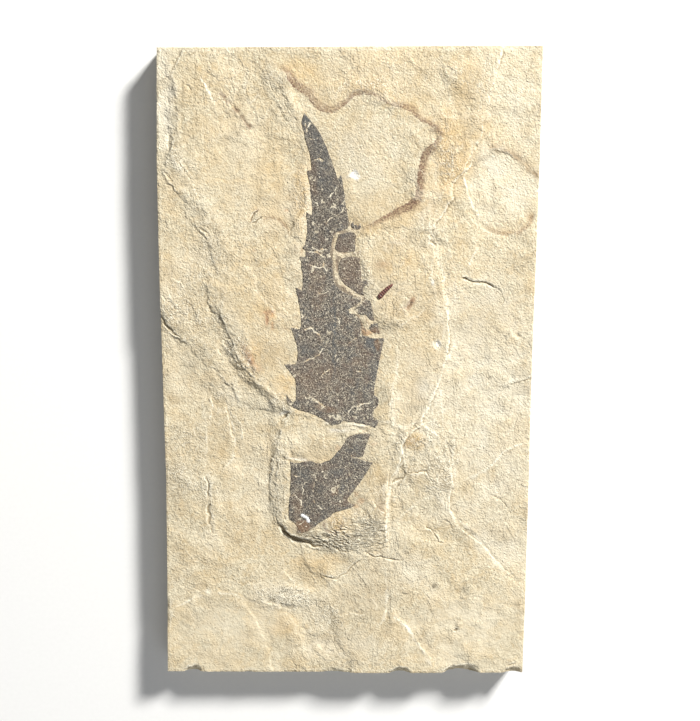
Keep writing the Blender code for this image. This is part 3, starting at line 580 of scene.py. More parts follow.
def stoneHeight(x, y):
    calm = readMap(nearFilm, x, y)
    straight = changedIn(straightSpots, x, y, np.ones(x.shape), -1)
    rough = stone["ledgeRaggedness"] * (1.0 - 0.8 * calm) * straight
    baseX = x + rough * roughWander(x, y, 1.5 * mm, 11)
    baseY = y + rough * roughWander(x, y, 1.5 * mm, 12)
    split = stone["splitWidth"] * (1.0 - calm) * (0.5 + 0.5 * wander(x, y, 14 * mm, 13)) * straight
    split = changedIn(widerSplits, x, y, split, 1)
    height = np.zeros(x.shape)
    for index, share in enumerate(stone["splitLedges"]):
        strayX = split * index * wander(x, y, 5 * mm, 20 + index)
        strayY = split * index * wander(x, y, 5 * mm, 30 + index)
        height += share * readMap(sharpFace, baseX + strayX, baseY + strayY)
    strength = 0.82 + 0.25 * wander(x, y, 11 * mm, 14)
    strength = np.clip(np.maximum(strength, calm), 0.35, 1.0)
    strength = changedIn(fadedLedges, x, y, strength, -1)
    soft = readMap(softFace, x, y)
    height = soft + (height - soft) * strength

    for rise, fade, route in thinLedges:
        height += ledgeLift(baseX, baseY, rise, fade, route, stone["ledgeSlope"], 5.0)
    uneven = 0.62 + 0.55 * wander(x, y, 2.2 * mm, 16)
    for width, rise, whiteness, route in paleLines:
        away, side, along = distanceTo(route, baseX, baseY)
        ends = tapered(along, 8.0) * np.maximum(uneven, 0.0)
        height += rise * mm * ends * (1.0 - ease(away, 0.1 * width * mm, 0.62 * width * mm))
    for rise, fade, route in straightLedges:
        height += ledgeLift(x, y, rise, fade, route, stone["cutSlope"], 8.0)
    for width, depth, route in thinGrooves:
        away, side, along = distanceTo(route, baseX, baseY)
        ends = tapered(along, 5.0, 0.08)
        wide = width * mm * (0.35 + 0.65 * ends)
        height -= depth * mm * ends * (1.0 - ease(away, 0.12 * wide, 0.75 * wide))
    height -= chiselMarks(x, y)
    for spot in brokenSpots:
        height -= spot[5] * mm * ease(inBlob(baseX, baseY, spot), 0.2, 0.75)

    height += stone["swell"] * (wander(x, y, 23 * mm, 1) * 0.7 + wander(x, y, 9 * mm, 2) * 0.28)
    featherX, featherY = turned(x, y, -52)
    leftSide = ease(-x, 5 * mm, 26 * mm) * (1.0 - calm)
    height += leftSide * stone["feather"] * wander(featherX, featherY * 3.2, 7.5 * mm, 3)
    height += bandSteps(x, y)
    layers = wander(x, y, 13 * mm, 4) * 3.0 + wander(x, y, 4 * mm, 5) * 0.5
    level = strongest(x, y, smoothAreas)
    beds = stairs(layers, 0.44, 0.56) - layers
    height += stone["thinBed"] * beds * (1.0 - calm) * (1.0 - 0.8 * level)
    flecks = wander(x, y, 2.9 * mm, 6)
    height += stone["grain"] * flecks * (1.0 - readMap(underFilm, x, y)) * (1.0 - 0.7 * level)

    nibble = np.maximum(0.0, roughWander(x, y, 3.0 * mm, 9) - 0.45)
    worn = np.clip(1.0 - edgeDistance(x, y) / (stone["wornEdge"] * (1.0 + 1.5 * nibble)), 0.0, 1.0)
    height -= stone["wornDrop"] * (1.0 + 4.0 * nibble) * worn ** 2
    return np.minimum(height, cadHigh.z + stone["headroom"])


# the bands of ragged thin beds down the left: routes, half width, and height of each bed in mm
band = {
    "routes": [
        [(-45, 66), (-44, 55), (-39, 46), (-36, 36), (-34, 24), (-31, 12), (-26, 2), (-19, -7), (-14, -11)],
        [(-51, 16), (-46, 9), (-39, 2), (-35, -6), (-32, -16), (-30, -24)],
    ],
    "halfWidth": 5.0,
    "rise": 0.11,
}


def bandSteps(x, y):
    steps = np.zeros(x.shape)
    for index, route in enumerate(band["routes"]):
        away = distanceTo(route, x, y)[0]
        near = 1.0 - ease(away, 0.35 * band["halfWidth"] * mm, band["halfWidth"] * mm)
        along, across = turned(x, y, -55)
        field = 1.5 * wander(along, across * 2.4, 8 * mm, 91 + index)
        field = field + 0.8 * wander(along, across * 1.6, 3 * mm, 93)
        field = field + 0.35 * wander(x, y, 1.9 * mm, 95)
        steps += band["rise"] * mm * (stairs(field, 0.40, 0.60) - 0.55 * field) * near * (1.0 - 0.15 * index)
    return steps


def besideTiles(x, y):
    # the gap between the blade and its tiles
    inside = (x > -5.5 * mm) & (x < 9 * mm) & (y > 9.5 * mm) & (y < 40 * mm)
    return inside & (readMap(nearFilm, x, y) > 0.15) & (readMap(underFilm, x, y) < 0.93)


def amongStrokes(x, y, areas):
    among = np.zeros(x.shape, bool)
    for area in areas:
        lowX, lowY, highX, highY = [value * mm for value in area["corners"]]
        among |= (x > lowX) & (x < highX) & (y > lowY) & (y < highY)
    return among


def hasFineDetail(x, y):
    # where a cell is worth halving although its corners lie level
    fine = edgeDistance(x, y) < 0.7 * mm
    for width, *rest, route in thinGrooves + paleLines:
        fine |= distanceTo(route, x, y)[0] < (0.5 * width + 0.35) * mm
    return fine | besideTiles(x, y) | amongStrokes(x, y, chiselStrokes)


def hasFinestDetail(x, y):
    # where the halves are worth halving too: the strokes at the leaf's base, and deep narrow grooves
    fine = amongStrokes(x, y, chiselStrokes[:2]) | besideTiles(x, y)
    for width, depth, route in thinGrooves:
        if depth >= 0.24 and width < 0.65:
            fine |= distanceTo(route, x, y)[0] < 0.40 * mm
    return fine


def halveCells(piece, least, first):
    # subdivides the faces whose corners differ in height by more than the given amount
    points = readPoints(piece)
    heights = stoneHeight(points[:, 0], points[:, 1])
    mesh = piece.data
    starts = np.empty(len(mesh.polygons), np.int32)
    corners = np.empty(len(mesh.loops), np.int32)
    centres = np.empty(len(mesh.polygons) * 3)
    mesh.polygons.foreach_get("loop_start", starts)
    mesh.loops.foreach_get("vertex_index", corners)
    mesh.polygons.foreach_get("center", centres)
    x, y = centres[0::3], centres[1::3]
    spread = np.maximum.reduceat(heights[corners], starts) - np.minimum.reduceat(heights[corners], starts)
    if first:
        chosen = (spread > least) | hasFineDetail(x, y)
    else:
        chosen = (spread > least) & (edgeDistance(x, y) > 0.6 * mm) | hasFinestDetail(x, y)
    editWithOnly(piece, "faces", chosen)
    bpy.ops.mesh.subdivide(number_cuts=1)
    bpy.ops.object.mode_set(mode="OBJECT")
    return int(chosen.sum())


def makeStone():
    width = cadHigh.x - cadLow.x
    length = cadHigh.y - cadLow.y
    deselectAll()
    bpy.ops.mesh.primitive_grid_add(
        x_subdivisions=round(width / stone["cell"]), y_subdivisions=round(length / stone["cell"]), size=1.0)
    piece = bpy.context.active_object
    piece.name = "stonePlate"
    points = readPoints(piece)
    across, up = points[:, 0] + 0.5, points[:, 1] + 0.5
    roughY = cadLow.y + length * up
    points[:, 0] = leftEdge(roughY) * (1 - across) + rightEdge(roughY) * across
    points[:, 1] = bottomEdge(points[:, 0]) * (1 - up) + topEdge(points[:, 0]) * up
    points[:, 2] = 0.0
    writePoints(piece, points)
    first = halveCells(piece, stone["firstStep"], True)
    second = halveCells(piece, stone["secondStep"], False)
    print("stone cells halved:", first, "then", second)

    rowHeight = cadHigh.z / stone["sideRows"]
    loopEdges = np.empty(len(piece.data.loops), np.int32)
    piece.data.loops.foreach_get("edge_index", loopEdges)
    rim = np.bincount(loopEdges, minlength=len(piece.data.edges)) == 1
    editWithOnly(piece, "edges", rim)
    for row in range(stone["sideRows"]):
        bpy.ops.mesh.extrude_edges_move(TRANSFORM_OT_translate={"value": (0, 0, -rowHeight)})
    bpy.ops.mesh.edge_face_add()
    leaveFacingOut()

    points = readPoints(piece)
    x, y = points[:, 0], points[:, 1]
    top = stoneHeight(x, y)
    share = np.clip(1.0 + points[:, 2] / (rowHeight * stone["sideRows"]), 0.0, 1.0)
    share[np.abs(share) < 1e-4] = 0.0
    onSide = share < 0.999
    bowOut = onSide * np.sin(np.pi * share) * stone["sideBow"]
    sideNoise = roughWander(x + y, share * cadHigh.z, 1.6 * mm, 15) * stone["sideRoughness"]
    inward = np.where(onSide, stone["sideBow"] - bowOut + sideNoise * (share > 0), 0.0)
    insideX, insideY = edgeDistances(x, y)
    points[:, 0] = x - np.where((insideX < 0.02 * mm) & onSide, np.sign(x) * inward, 0.0)
    points[:, 1] = y - np.where((insideY < 0.02 * mm) & onSide, np.sign(y) * inward, 0.0)
    points[:, 2] = top * share
    writePoints(piece, points)
    return piece, x, y, share


stonePiece, stoneX, stoneY, stoneShare = makeStone()
stonePiece.data.calc_loop_triangles()
print("stone mesh:", len(stonePiece.data.loop_triangles), "triangles")

# colour patches painted on the stone, ellipses in mm: x, y, half width, half height, turn, strength
patches = {
    "tan": [
        (-22, 3, 4, 4, 0, 0.5), (-46, 22, 4, 7, 0, 0.4), (-6, -78, 5, 4, 0, 0.45), (33, 75, 4, 5, 0, 0.4),
        (14, 78, 24, 6, 0, 0.55), (32, 70, 8, 6, -20, 0.5), (28, 60, 5, 12, 0, 0.85),
        (25, 50, 4, 9, 0, 0.7), (-10, 79, 8, 3, -15, 0.65), (-30, 70, 9, 8, -30, 0.32),
        (-34, 58, 6, 10, 10, 0.3), (14, 32, 7, 6, 0, 0.55), (11, 27, 4, 3, 0, 0.5), (13, 17, 8, 6, 0, 0.5),
        (19, 4, 6, 12, 0, 0.35), (17, -8, 4, 8, 0, 0.25), (-28, 24, 9, 10, -30, 0.35),
        (-23, 14, 8, 7, -35, 0.6), (-24, 4, 6, 7, -40, 0.95), (-18, -4, 4, 4, 0, 0.85),
        (-16, -8, 3, 2, 0, 0.6), (-2, -40, 5, 3, 20, 0.7), (8, -33, 2.5, 6, 0, 0.45),
        (-8, -55, 12, 3, 0, 0.5), (-35, -15, 3.4, 9, 0, 0.7), (-37, -22, 5, 7, 0, 0.45),
        (-42, -50, 7, 3, 0, 0.3), (-17, -72, 6, 4, -20, 0.55), (-31, -47, 6, 4, 0, 0.32),
        (10, -46, 2, 4, 0, 0.3), (8, -62, 3, 8, 0, 0.25), (-20, 36, 5, 5, 0, 0.25),
        (22, -28, 7, 3, 0, 0.35), (19, -45, 5, 5, 0, 0.22), (33, 74, 5, 7, 0, 0.9), (34, 66, 4, 4, 0, 0.7),
        (-21, 50, 5, 12, 0, 0.8), (18, 18, 5, 5, 0, 0.7), (9, -32, 3, 8, 0, 0.7), (-9, -23, 7, 4, 0, 0.6),
        (-38, 10, 4, 4, 0, 0.35), (6, 44, 7, 4, 20, 0.35), (17, -8, 3, 7, 0, 0.5), (40, 14, 7, 6, 0, 0.4),
        (-44, 12, 6, 8, 0, 0.25), (-45, -3, 5, 6, 0, 0.15), (-2, -79, 7, 5, 0, 0.45),
        (3, -27, 5, 4, 0, 0.4), (-44, 34, 5, 9, 0, 0.2), (-34, 79, 9, 4, 0, 0.3),
    ],
    # pale: paler stone; the first four patches are painted light that lightens the shade of ledges on the
    # left
    "pale": [
        (-30, -6, 4, 4, 0, 0.5), (-22, -9, 6, 5, 0, 0.5), (-22.6, -34, 2.4, 9, 0, 0.5),
        (-38, 34, 4, 4, 0, 0.5), (0, -78, 7, 4, 0, 0.5), (-13, -78, 5, 4, 0, 0.3), (-22, -62, 5, 4, 0, 0.4),
        (-18, -64.5, 6, 3, 0, 0.7), (-19, -29, 2, 9, 0, 0.35), (-29.5, 10, 2.4, 6, 0, 0.25),
        (12, -54, 6, 4, 0, 0.3), (43, 78, 8, 9, 0, 0.65), (42, 70, 8, 4, 10, 0.45),
        (40, 48, 9, 10, 0, 0.65), (6, 57, 8, 9, 0, 0.5), (46, 68, 5, 8, 0, 0.7), (38, 25, 11, 9, 0, 0.22),
        (38, -8, 10, 14, 0, 0.45), (-47.6, 72, 2.4, 14, 0, 1), (-9, -19, 8, 4, -10, 0.1),
        (1, -14, 5, 1.6, 0, 0.8), (12.5, -8, 1, 8, 0, 0.6), (24, -38, 10, 4, 0, 0.25),
        (44, -48, 7, 7, 0, 0.5), (43, -30, 6, 4, 0, 0.35), (18, -55, 6, 5, 0, 0.5),
        (-4, -79, 9, 4, 0, 0.55), (-22, -70, 5, 4, 0, 0.4), (-30, -34, 6, 8, 0, 0.25),
        (30, -74, 12, 10, 0, 0.55), (42, -66, 7, 8, 0, 0.3), (-16, -64.5, 10, 3, -8, 0.6),
        (-36, -76, 12, 8, 0, 0.35), (-27, 60, 5, 12, 0, 0.25), (-18, -56, 2, 3, 0, 0.3),
    ],
    # grey: darker grey-brown stone; along the groove and chisel slope at the leaf's base, beside the cut line
    # near (9, -37) and on the ledges of the left band these patches are painted shade
    "grey": [
        (18, -6, 3, 5, 0, 0.3), (2, 49, 5, 5, 0, 0.25), (-21, 3, 3.6, 4, 0, 0.3), (-14, -22, 3, 3, 0, 0.35),
        (-14, -47.4, 3, 2, 0, 0.35), (-46.4, -34, 3.6, 16, 0, 0.28), (26, 10, 3, 4, 0, 0.28),
        (10, 30, 4, 6, 0, 0.2), (34, 18, 5, 4, 0, 0.18), (-38, 12, 4, 4, 0, 0.2), (18, 18, 5, 5, 0, 0.4),
        (34, 72, 4, 8, 0, 0.45), (6, -31, 5, 5, 0, 0.45), (-9, -22, 6, 3, 0, 0.45), (8, 44, 8, 4, 0, 0.34),
        (-19, 43, 6, 6, 0, 0.3), (18, 66, 4, 4, 0, 0.22), (-46, 18, 4, 5, 0, 0.3), (2, 59, 4, 5, 0, 0.25),
        (-46, -30, 4, 5, 0, 0.2), (42, -22, 5, 4, 0, 0.22), (37, 12, 8, 10, 0, 0.2),
        (-45, -3, 4, 6, 0, 0.3), (9.3, -36.8, 1.3, 2.6, 0, 0.8), (-40, 47, 3, 12, 30, 0.3),
        (-36, 34, 3, 7, 35, 0.12), (-33, 20, 3, 8, 30, 0.5), (-30, 10, 3, 8, 25, 0.75),
        (-24, 2, 2.4, 8, 45, 0.6), (-18, -8, 2, 5, 40, 0.3), (-48, 12, 3, 6, 30, 0.5),
        (-36, -18, 5, 6, 0, 0.45), (3, -46, 8, 3, 0, 0.4), (9, -37, 1.5, 6, 0, 0.95),
        (-13, -45.4, 3, 2, -30, 0.8), (-44.8, 66, 1, 12, 3, 0.35), (-17, 74, 2.2, 8, 32, 0.4),
        (-8, -46, 8, 2, -14, 0.7), (-9, -47, 5, 2, -20, 1), (-11.6, 60, 1.6, 8, 12, 0.6),
        (-38, -38, 1.2, 8, 0, 0.65), (-44, 30, 5, 8, 30, 0.35), (17, -30, 6, 2, 0, 0.5),
        (-30, -74, 16, 9, 0, 0.08), (47.5, -4.4, 3, 1.2, 15, 0.5), (3, -67, 8, 10, 0, 0.62),
        (8, -76, 9, 5, -30, 0.15), (-14, -62, 12, 3, 0, 0.08), (-38, -64, 9, 3, 0, 0.3),
        (-26, -4, 3, 4, 0, 0.15), (24, 22, 2, 18, 5, 0.2), (-34, -4, 4, 8, 0, 0.12),
        (-28, -16, 4, 8, 0, 0.3), (30, 12, 3, 4, 0, 0.2), (-20, 8, 4, 6, 40, 0.3), (-42, 4, 3, 6, 45, 0.6),
        (-36, -3, 3, 6, 45, 0.15), (-29, -8, 3, 4, 60, 0.15),
    ],
    "halo": [
        (27, 58, 4.5, 7, 0, 0.85), (25.6, 51.5, 2.6, 3.5, 0, 0.7), (18.2, -19.4, 2.8, 2.6, 0, 0.95),
        (-25, 4, 3, 5, 25, 0.55), (-20, 15, 3, 3, 0, 0.4), (-12, 79, 4, 2, -20, 0.4),
        (4, 38, 3, 2, 20, 0.5), (15, 44.4, 4, 2, 30, 0.5), (-2, -40.2, 3.5, 2, 25, 0.35),
        (-3, -42, 1.8, 1.8, 0, 0.85), (-16.6, -72.4, 4, 3, -20, 0.35), (5, 11.4, 1.2, 0.8, 0, 0.7),
        (30, 36, 2, 3, 0, 0.3), (-8, -53, 6, 2, 0, 0.3), (24.8, 22, 1.5, 3, 0, 0.35),
        (13.4, 28.6, 3, 3, 0, 0.3), (-12.8, 47, 2, 8, 0, 1), (-20.6, 15.6, 1.4, 1.6, 0, 0.75),
        (-17, -3, 2.4, 3, 0, 0.45), (-46, 48, 2, 6, 0, 0.25), (46, 74, 2, 0.6, 60, 0.4),
    ],
    "ember": [
        (-20.9, 16.6, 1.5, 0.5, 5, 1), (-21.3, 15, 0.5, 1.8, 0, 1), (-20.1, 15.9, 0.5, 0.8, 0, 0.8),
        (-20.1, 13, 0.5, 1.1, 0, 0.6), (3.6, -35.6, 1, 0.8, 0, 0.7), (2.4, -37, 0.8, 0.6, 0, 0.5),
        (2.4, -33.6, 0.5, 0.8, 0, 0.4), (16.9, 19, 0.6, 1.8, -30, 0.85), (15.8, 17.4, 0.9, 0.5, 20, 0.6),
        (-26.3, 4.6, 1, 3, 25, 0.55), (-24.6, 2, 0.7, 1.4, 30, 0.4), (5.2, 11, 1.5, 0.6, 10, 0.75),
        (4, 11.8, 0.5, 0.8, 0, 0.6), (17.4, -18.8, 1.2, 0.8, 10, 0.28), (15.8, -20.4, 0.8, 0.8, 0, 0.22),
        (-12, 32.6, 0.5, 0.8, 0, 0.35), (-2.6, -20.8, 0.8, 0.6, 0, 0.35), (-9.4, -41, 1.4, 0.6, 30, 0.35),
        (9.2, 29.4, 1.8, 0.8, 0, 0.25), (-24.6, 33, 0.5, 0.4, 0, 0.4), (-16, 43.6, 0.6, 0.4, 0, 0.4),
        (23.4, 64.4, 1.4, 0.8, -30, 0.3), (7.2, -19.6, 0.8, 0.5, 0, 0.35), (-0.8, -36.4, 1.2, 0.5, 0, 0.3),
        (12, 72, 1.6, 0.7, -20, 0.25),
    ],
    "rust": [
        # the first patch, beside the cut line near (9, -37), is painted shade in the rust colour
        (9.4, -36.8, 1.2, 2.6, 0, 0.22), (-20.6, 16.5, 1, 0.4, 10, 0.45), (-21.4, 14.7, 0.4, 1, 0, 0.5),
        (-26.9, 5, 0.7, 2.8, 25, 0.7), (-25.5, 1.8, 0.6, 1.6, 25, 0.6), (-23.4, 1.4, 0.8, 1.2, 0, 0.35),
        (16.8, 19, 0.7, 1.8, -30, 0.75), (15.6, 18, 1, 0.6, 20, 0.5), (17.9, -18.6, 1.5, 0.8, 10, 0.1),
        (-9.5, -40.5, 0.4, 0.4, 0, 0.2), (22.6, 64.4, 1.2, 0.8, 0, 0.35), (9, 29, 2.6, 1.6, 0, 0.22),
        (13, 35, 2.4, 1.2, 20, 0.2), (-16.8, 12, 1, 0.5, 0, 0.3), (-12.6, -43.6, 1.8, 1.2, 0, 0.55),
        (20.6, 44, 3, 3, 0, 0.2), (-13.6, 33.2, 0.5, 1.4, 0, 0.25),
    ],
    "rough": [
        (-44.8, 66, 1.4, 13, 3, 0.5), (-17, 74, 2.6, 9, 30, 0.55), (35, 74, 3, 10, -20, 0.5),
        (-24, 40, 6, 4, 0, 0.3), (-31, 11, 3, 8, 25, 0.9), (-26, 0, 2.4, 6, 45, 0.9),
        (-36, 36, 4, 9, 20, 0.45), (-41, 50, 4, 9, 30, 0.4), (-17, -8, 3, 4, 40, 0.8),
        (-19, -30, 2.4, 14, 0, 0.75), (1, -44.5, 10, 6, 4, 0.75), (8, -37, 3, 5, 0, 0.6),
        (-22, 10, 5, 8, -30, 0.2), (-15, -64, 11, 3.6, -10, 1), (-5, -71, 6, 5, -30, 0.55),
        (17, -24, 6, 7, 0, 0.55), (25, -24, 5, 11, 8, 1), (17, -22, 4, 6, 0, 0.8), (27, 57, 4, 8, 0, 0.5),
        (-33, -10, 5, 9, 10, 0.4), (-44, 14, 5, 8, 40, 0.5), (22, 36, 4, 8, 5, 0.5),
        (14, 78, 20, 5, 0, 0.4), (26, 62, 4, 9, 0, 0.4), (-12, 46, 2.4, 9, 0, 0.6), (3, 26, 3, 12, 10, 0.8),
        (-43, -24, 6, 12, 0, 0.7), (6, 60, 12, 8, 0, 0.3), (-40, 20, 9, 14, 0, 0.45),
        (-38, -38, 3, 10, 0, 0.4), (13, 17, 6, 6, 0, 0.35), (4, 74, 14, 3, 0, 0.3),
    ],
    "hatch": [
        (4, -46.6, 5.6, 3.2, 0, 0.6), (-6.5, -47, 6, 2.2, -22, 1), (7.4, -42.6, 3, 1.6, 0, 0.7),
        (-12, -45.6, 2.4, 1.2, -35, 0.8),
    ],
    "smooth": smoothAreas,
    "ironWide": [
        (19, 53, 5, 10, 0, 1.2), (-11.5, 74, 4, 8, 45, 1.2), (-4, 69, 4, 2.4, 0, 0.8),
        (17, 46.5, 4, 4, 0, 0.7), (11, 43, 6, 2.4, -30, 0.5), (17, 69, 5, 2.4, -25, 0.55),
        (22.4, 64.8, 2.4, 1.6, -25, 0.4), (-0.5, 70.6, 2, 2, 30, 0.4),
    ],
    "gold": [
        (18.4, -19, 2.6, 2.2, 0, 1), (-2.9, -42.3, 2.1, 1.9, 0, 1), (5.2, 11, 1.6, 0.8, 0, 0.6),
        (28, 58, 4, 8, 0, 0.45), (27, 64, 3, 3, 0, 0.35), (-12.4, 47, 1.4, 8, 0, 0.35),
        (-12, 79.6, 3, 1.6, -20, 0.4), (6, 38, 2.6, 1.2, 20, 0.35), (16, 70, 3, 1.6, -20, 0.35),
    ],
    "cool": [
        (-47.4, 74, 2.6, 12, 0, 0.6), (39, 2, 11, 22, 0, 0.7), (36, -30, 12, 12, 0, 0.55),
        (24, -6, 5, 12, -15, 0.7), (42, 48, 8, 8, 0, 0.4), (36, 54, 5, 8, 0, 0.5), (42, -46, 7, 6, 0, 0.6),
        (18, -4, 4, 12, 0, 0.4), (26, 18, 4, 7, 0, 0.5),
    ],
    "gentle": gentleAreas,
    "spot": [
        (23.9, -60.2, 0.75, 0.6, 0, 0.95), (30.2, -72.8, 0.4, 0.55, 0, 0.75),
        (38.2, -1.2, 0.3, 0.3, 0, 0.8), (35.8, -2.2, 0.25, 0.3, 0, 0.7), (22.4, 35.2, 0.5, 0.3, 0, 0.4),
        (25.8, 43.4, 0.8, 0.35, 10, 0.6), (42.3, 10, 0.5, 0.3, 0, 0.6), (18.6, 38, 0.4, 0.25, 0, 0.4),
        (-46.5, 44, 0.3, 0.6, 30, 0.5), (41.5, 78, 0.8, 0.25, -30, 0.4), (-44.6, 61, 0.3, 0.8, 0, 0.4),
    ],
    "fresh": [
        (2.1, 52.9, 0.75, 1.15, 10, 1), (1.1, 52.7, 0.8, 0.5, 10, 1), (2.5, 52.3, 0.6, 0.5, 0, 0.9),
        (24.3, 7.9, 0.6, 0.9, 0, 0.85), (1, -20.8, 0.4, 0.4, 0, 0.9), (-3, -15.8, 3, 0.4, -6, 0.3),
        (-13, -23.9, 3.4, 0.3, -6, 0.3), (22.6, 24.6, 0.4, 0.8, 0, 0.5), (0.6, 28.4, 0.4, 0.5, 0, 0.3),
        (-17, -11, 1.5, 0.4, 20, 0.4),
    ],
}

# thin brown threads, in the gap beside the tiles and on the stone: width, strength and route in mm
brownThreads = [
    (1.3, 0.24, [(-2.6, 36.6), (-3.3, 33.6), (-3.2, 30.5), (-2.8, 28), (-2, 25.6)]),
    (0.28, 0.8, [(-2.8, 34.8), (-3.2, 32.4), (-2.9, 30), (-2.6, 27.4), (-2.4, 25.4), (-1.2, 23.4),
        (0.2, 22.2)]),
    (0.28, 0.8, [(-4.4, 37), (-3.6, 35.2), (-3.9, 33), (-4, 30.2)]),
    (0.28, 0.8, [(0.2, 22.2), (1.8, 21), (3.4, 20.2), (4.6, 19.2)]),
    (0.36, 0.8, [(-0.6, 23.8), (1.6, 22.2), (3.6, 21.2), (4.8, 19.8)]),
    (0.36, 0.9, [(-2.2, 32.2), (0, 32.5), (2, 32.2), (3.4, 32.6)]),
    (0.26, 0.6, [(-1.6, 31), (-0.6, 31.8), (1.6, 31.2)]),
    (0.4, 0.9, [(2.2, 16.2), (3.4, 14.6), (4, 12.4), (5.6, 11.2), (7.2, 10.6)]),
    (0.4, 0.8, [(3.6, 11.6), (5, 10.8), (6.4, 10.6)]), (0.26, 0.6, [(4.4, 17), (5, 14.6), (5.8, 13.2)]),
    (0.26, 0.6, [(-2, 37.8), (0, 38.4), (1.6, 38.8), (3, 38.4)]),
    (0.26, 0.55, [(1.8, 17.2), (3.4, 17.8), (4.4, 18.8)]),
    (0.5, 1, [(-6.2, -41.6), (-6.3, -42.8), (-5.7, -43.9), (-4.6, -44.6), (-3.2, -45)]),
    (0.3, 0.6, [(-5.2, -42.4), (-4.6, -41.9), (-4, -42)]),
    (0.44, 0.95, [(-3, -44.8), (-2.1, -43.7), (-1.5, -42.4), (-1.3, -41.2)]),
    (0.34, 0.55, [(5.1, -34.9), (7.2, -36), (8.6, -37.2), (9.6, -38.6), (10.4, -39.6)]),
    (0.3, 0.5, [(-2, -38.6), (0.5, -38.4), (2.6, -38.8), (4, -39.8)]),
    (0.85, 0.75, [(-32.6, 73.6), (-31, 71.8), (-28.4, 68.9), (-26, 66.2), (-24.6, 64.4)]),
    (0.4, 0.45, [(-24.6, 64.4), (-23.4, 62.6), (-22.6, 61.2)]),
]

# where scraps of film lie on the stone beside its edge
raggedFilmSides = [
    (-2.6, 29, 3.4, 12, 12, 0.9), (4, 14, 3.5, 6, 0, 0.9), (1, 38.6, 6, 4, 0, 1),
    (-2, -12, 10, 4, -15, 0.7), (6, -16, 4, 4, 0, 0.8), (-13, -12, 4, 4, 0, 0.7), (-12, -41, 5, 5, 0, 0.6),
]

# between the tiles and the blade: the bare bed, and the pale lines along which no scrap of film is left
tileGap = {
    "bed": [(-3.1, 36.8), (-3.2, 33), (-3.3, 31), (-3.1, 27.8), (-1.7, 24.2), (0.8, 22), (3.2, 20.8)],
    "bare": [
        [(-2.6, 36.6), (-3.2, 35.4), (-3.5, 34), (-3.9, 32.4), (-3.4, 30.3), (-3, 28.2), (-3, 26.3),
         (-1.7, 24.2), (0.4, 22.6), (2.5, 21.2), (4, 20.3)],
        [(-3.9, 32.6), (-2.4, 31.8), (-0.7, 31.7), (2.5, 31.6)],
        [(-2.8, 37.4), (0.4, 38.3), (2.5, 37.9), (4, 38.3)],
    ],
}

# the edge of the iron stain in mm; then smaller stained lines: width, strength, reach and route in mm
ironEdge = [
    (-20.6, 81.6), (-18, 80), (-16, 79.2), (-15.4, 77), (-13.8, 75.4), (-12, 74), (-10.4, 73), (-9.4, 71.4),
    (-7.5, 69.6), (-5, 68.8), (-3, 69), (-1.5, 70.2), (0, 71.2), (1.5, 73), (4, 73.7), (7, 73.2), (9, 71.8),
    (11, 70.9), (14, 70.1), (16.5, 69), (18.5, 67), (21, 65.9), (23, 64.9), (24.1, 63.4), (22.6, 61),
    (20.4, 59.8), (19.2, 57.4), (18.5, 54), (18.1, 50), (17.8, 47), (16, 45.6), (13.5, 44.4), (11, 42.8),
    (8, 41.2), (6, 40), (4, 38.9), (2.2, 37.8),
]
ironLines = [
    (1.8, 0.62, 2, [(36, 59.2), (40, 59), (43.5, 57.5), (46, 55), (48.4, 53), (50.2, 51.8)]),
    (1.1, 0.85, 1.5, [(36, 39), (38, 37.8), (40, 37.4), (43, 37), (46, 37.6), (48, 39.4), (49.6, 43)]),
    (0.4, 0.25, 1.2, [(11.4, 17), (14, 15.4), (16, 16.4), (17, 19), (17.4, 20.6)]),
    (0.5, 0.9, 1, [(-25.8, 40.2), (-25.2, 41.4), (-24, 42.8), (-23, 43.6)]),
    (0.45, 0.7, 1.2, [(-22.4, 41.2), (-20, 41.5), (-18, 40.9), (-16.6, 39.6), (-15.2, 36.6)]),
]

sharpPatches = ("spot", "fresh", "rust", "ember", "ironWide", "gold", "hatch")    # those with an even edge


def paintPatches(x, y):
    warpX, warpY = shaken(x, y, 0.9, 3, 51)
    broken = 0.75 + 0.45 * roughWander(x, y, 4.5 * mm, 53)
    masks = {}
    for name, blobs in patches.items():
        mask = np.zeros(x.shape)
        sharp = name in sharpPatches
        for blob in blobs:
            shape = inBlob(x if sharp else warpX, y if sharp else warpY, blob)
            mask = mask + blob[5] * shape * (1.0 - 0.6 * mask)
        masks[name] = np.clip(mask * (1.0 if sharp else broken), 0.0, 1.0)
    return masks


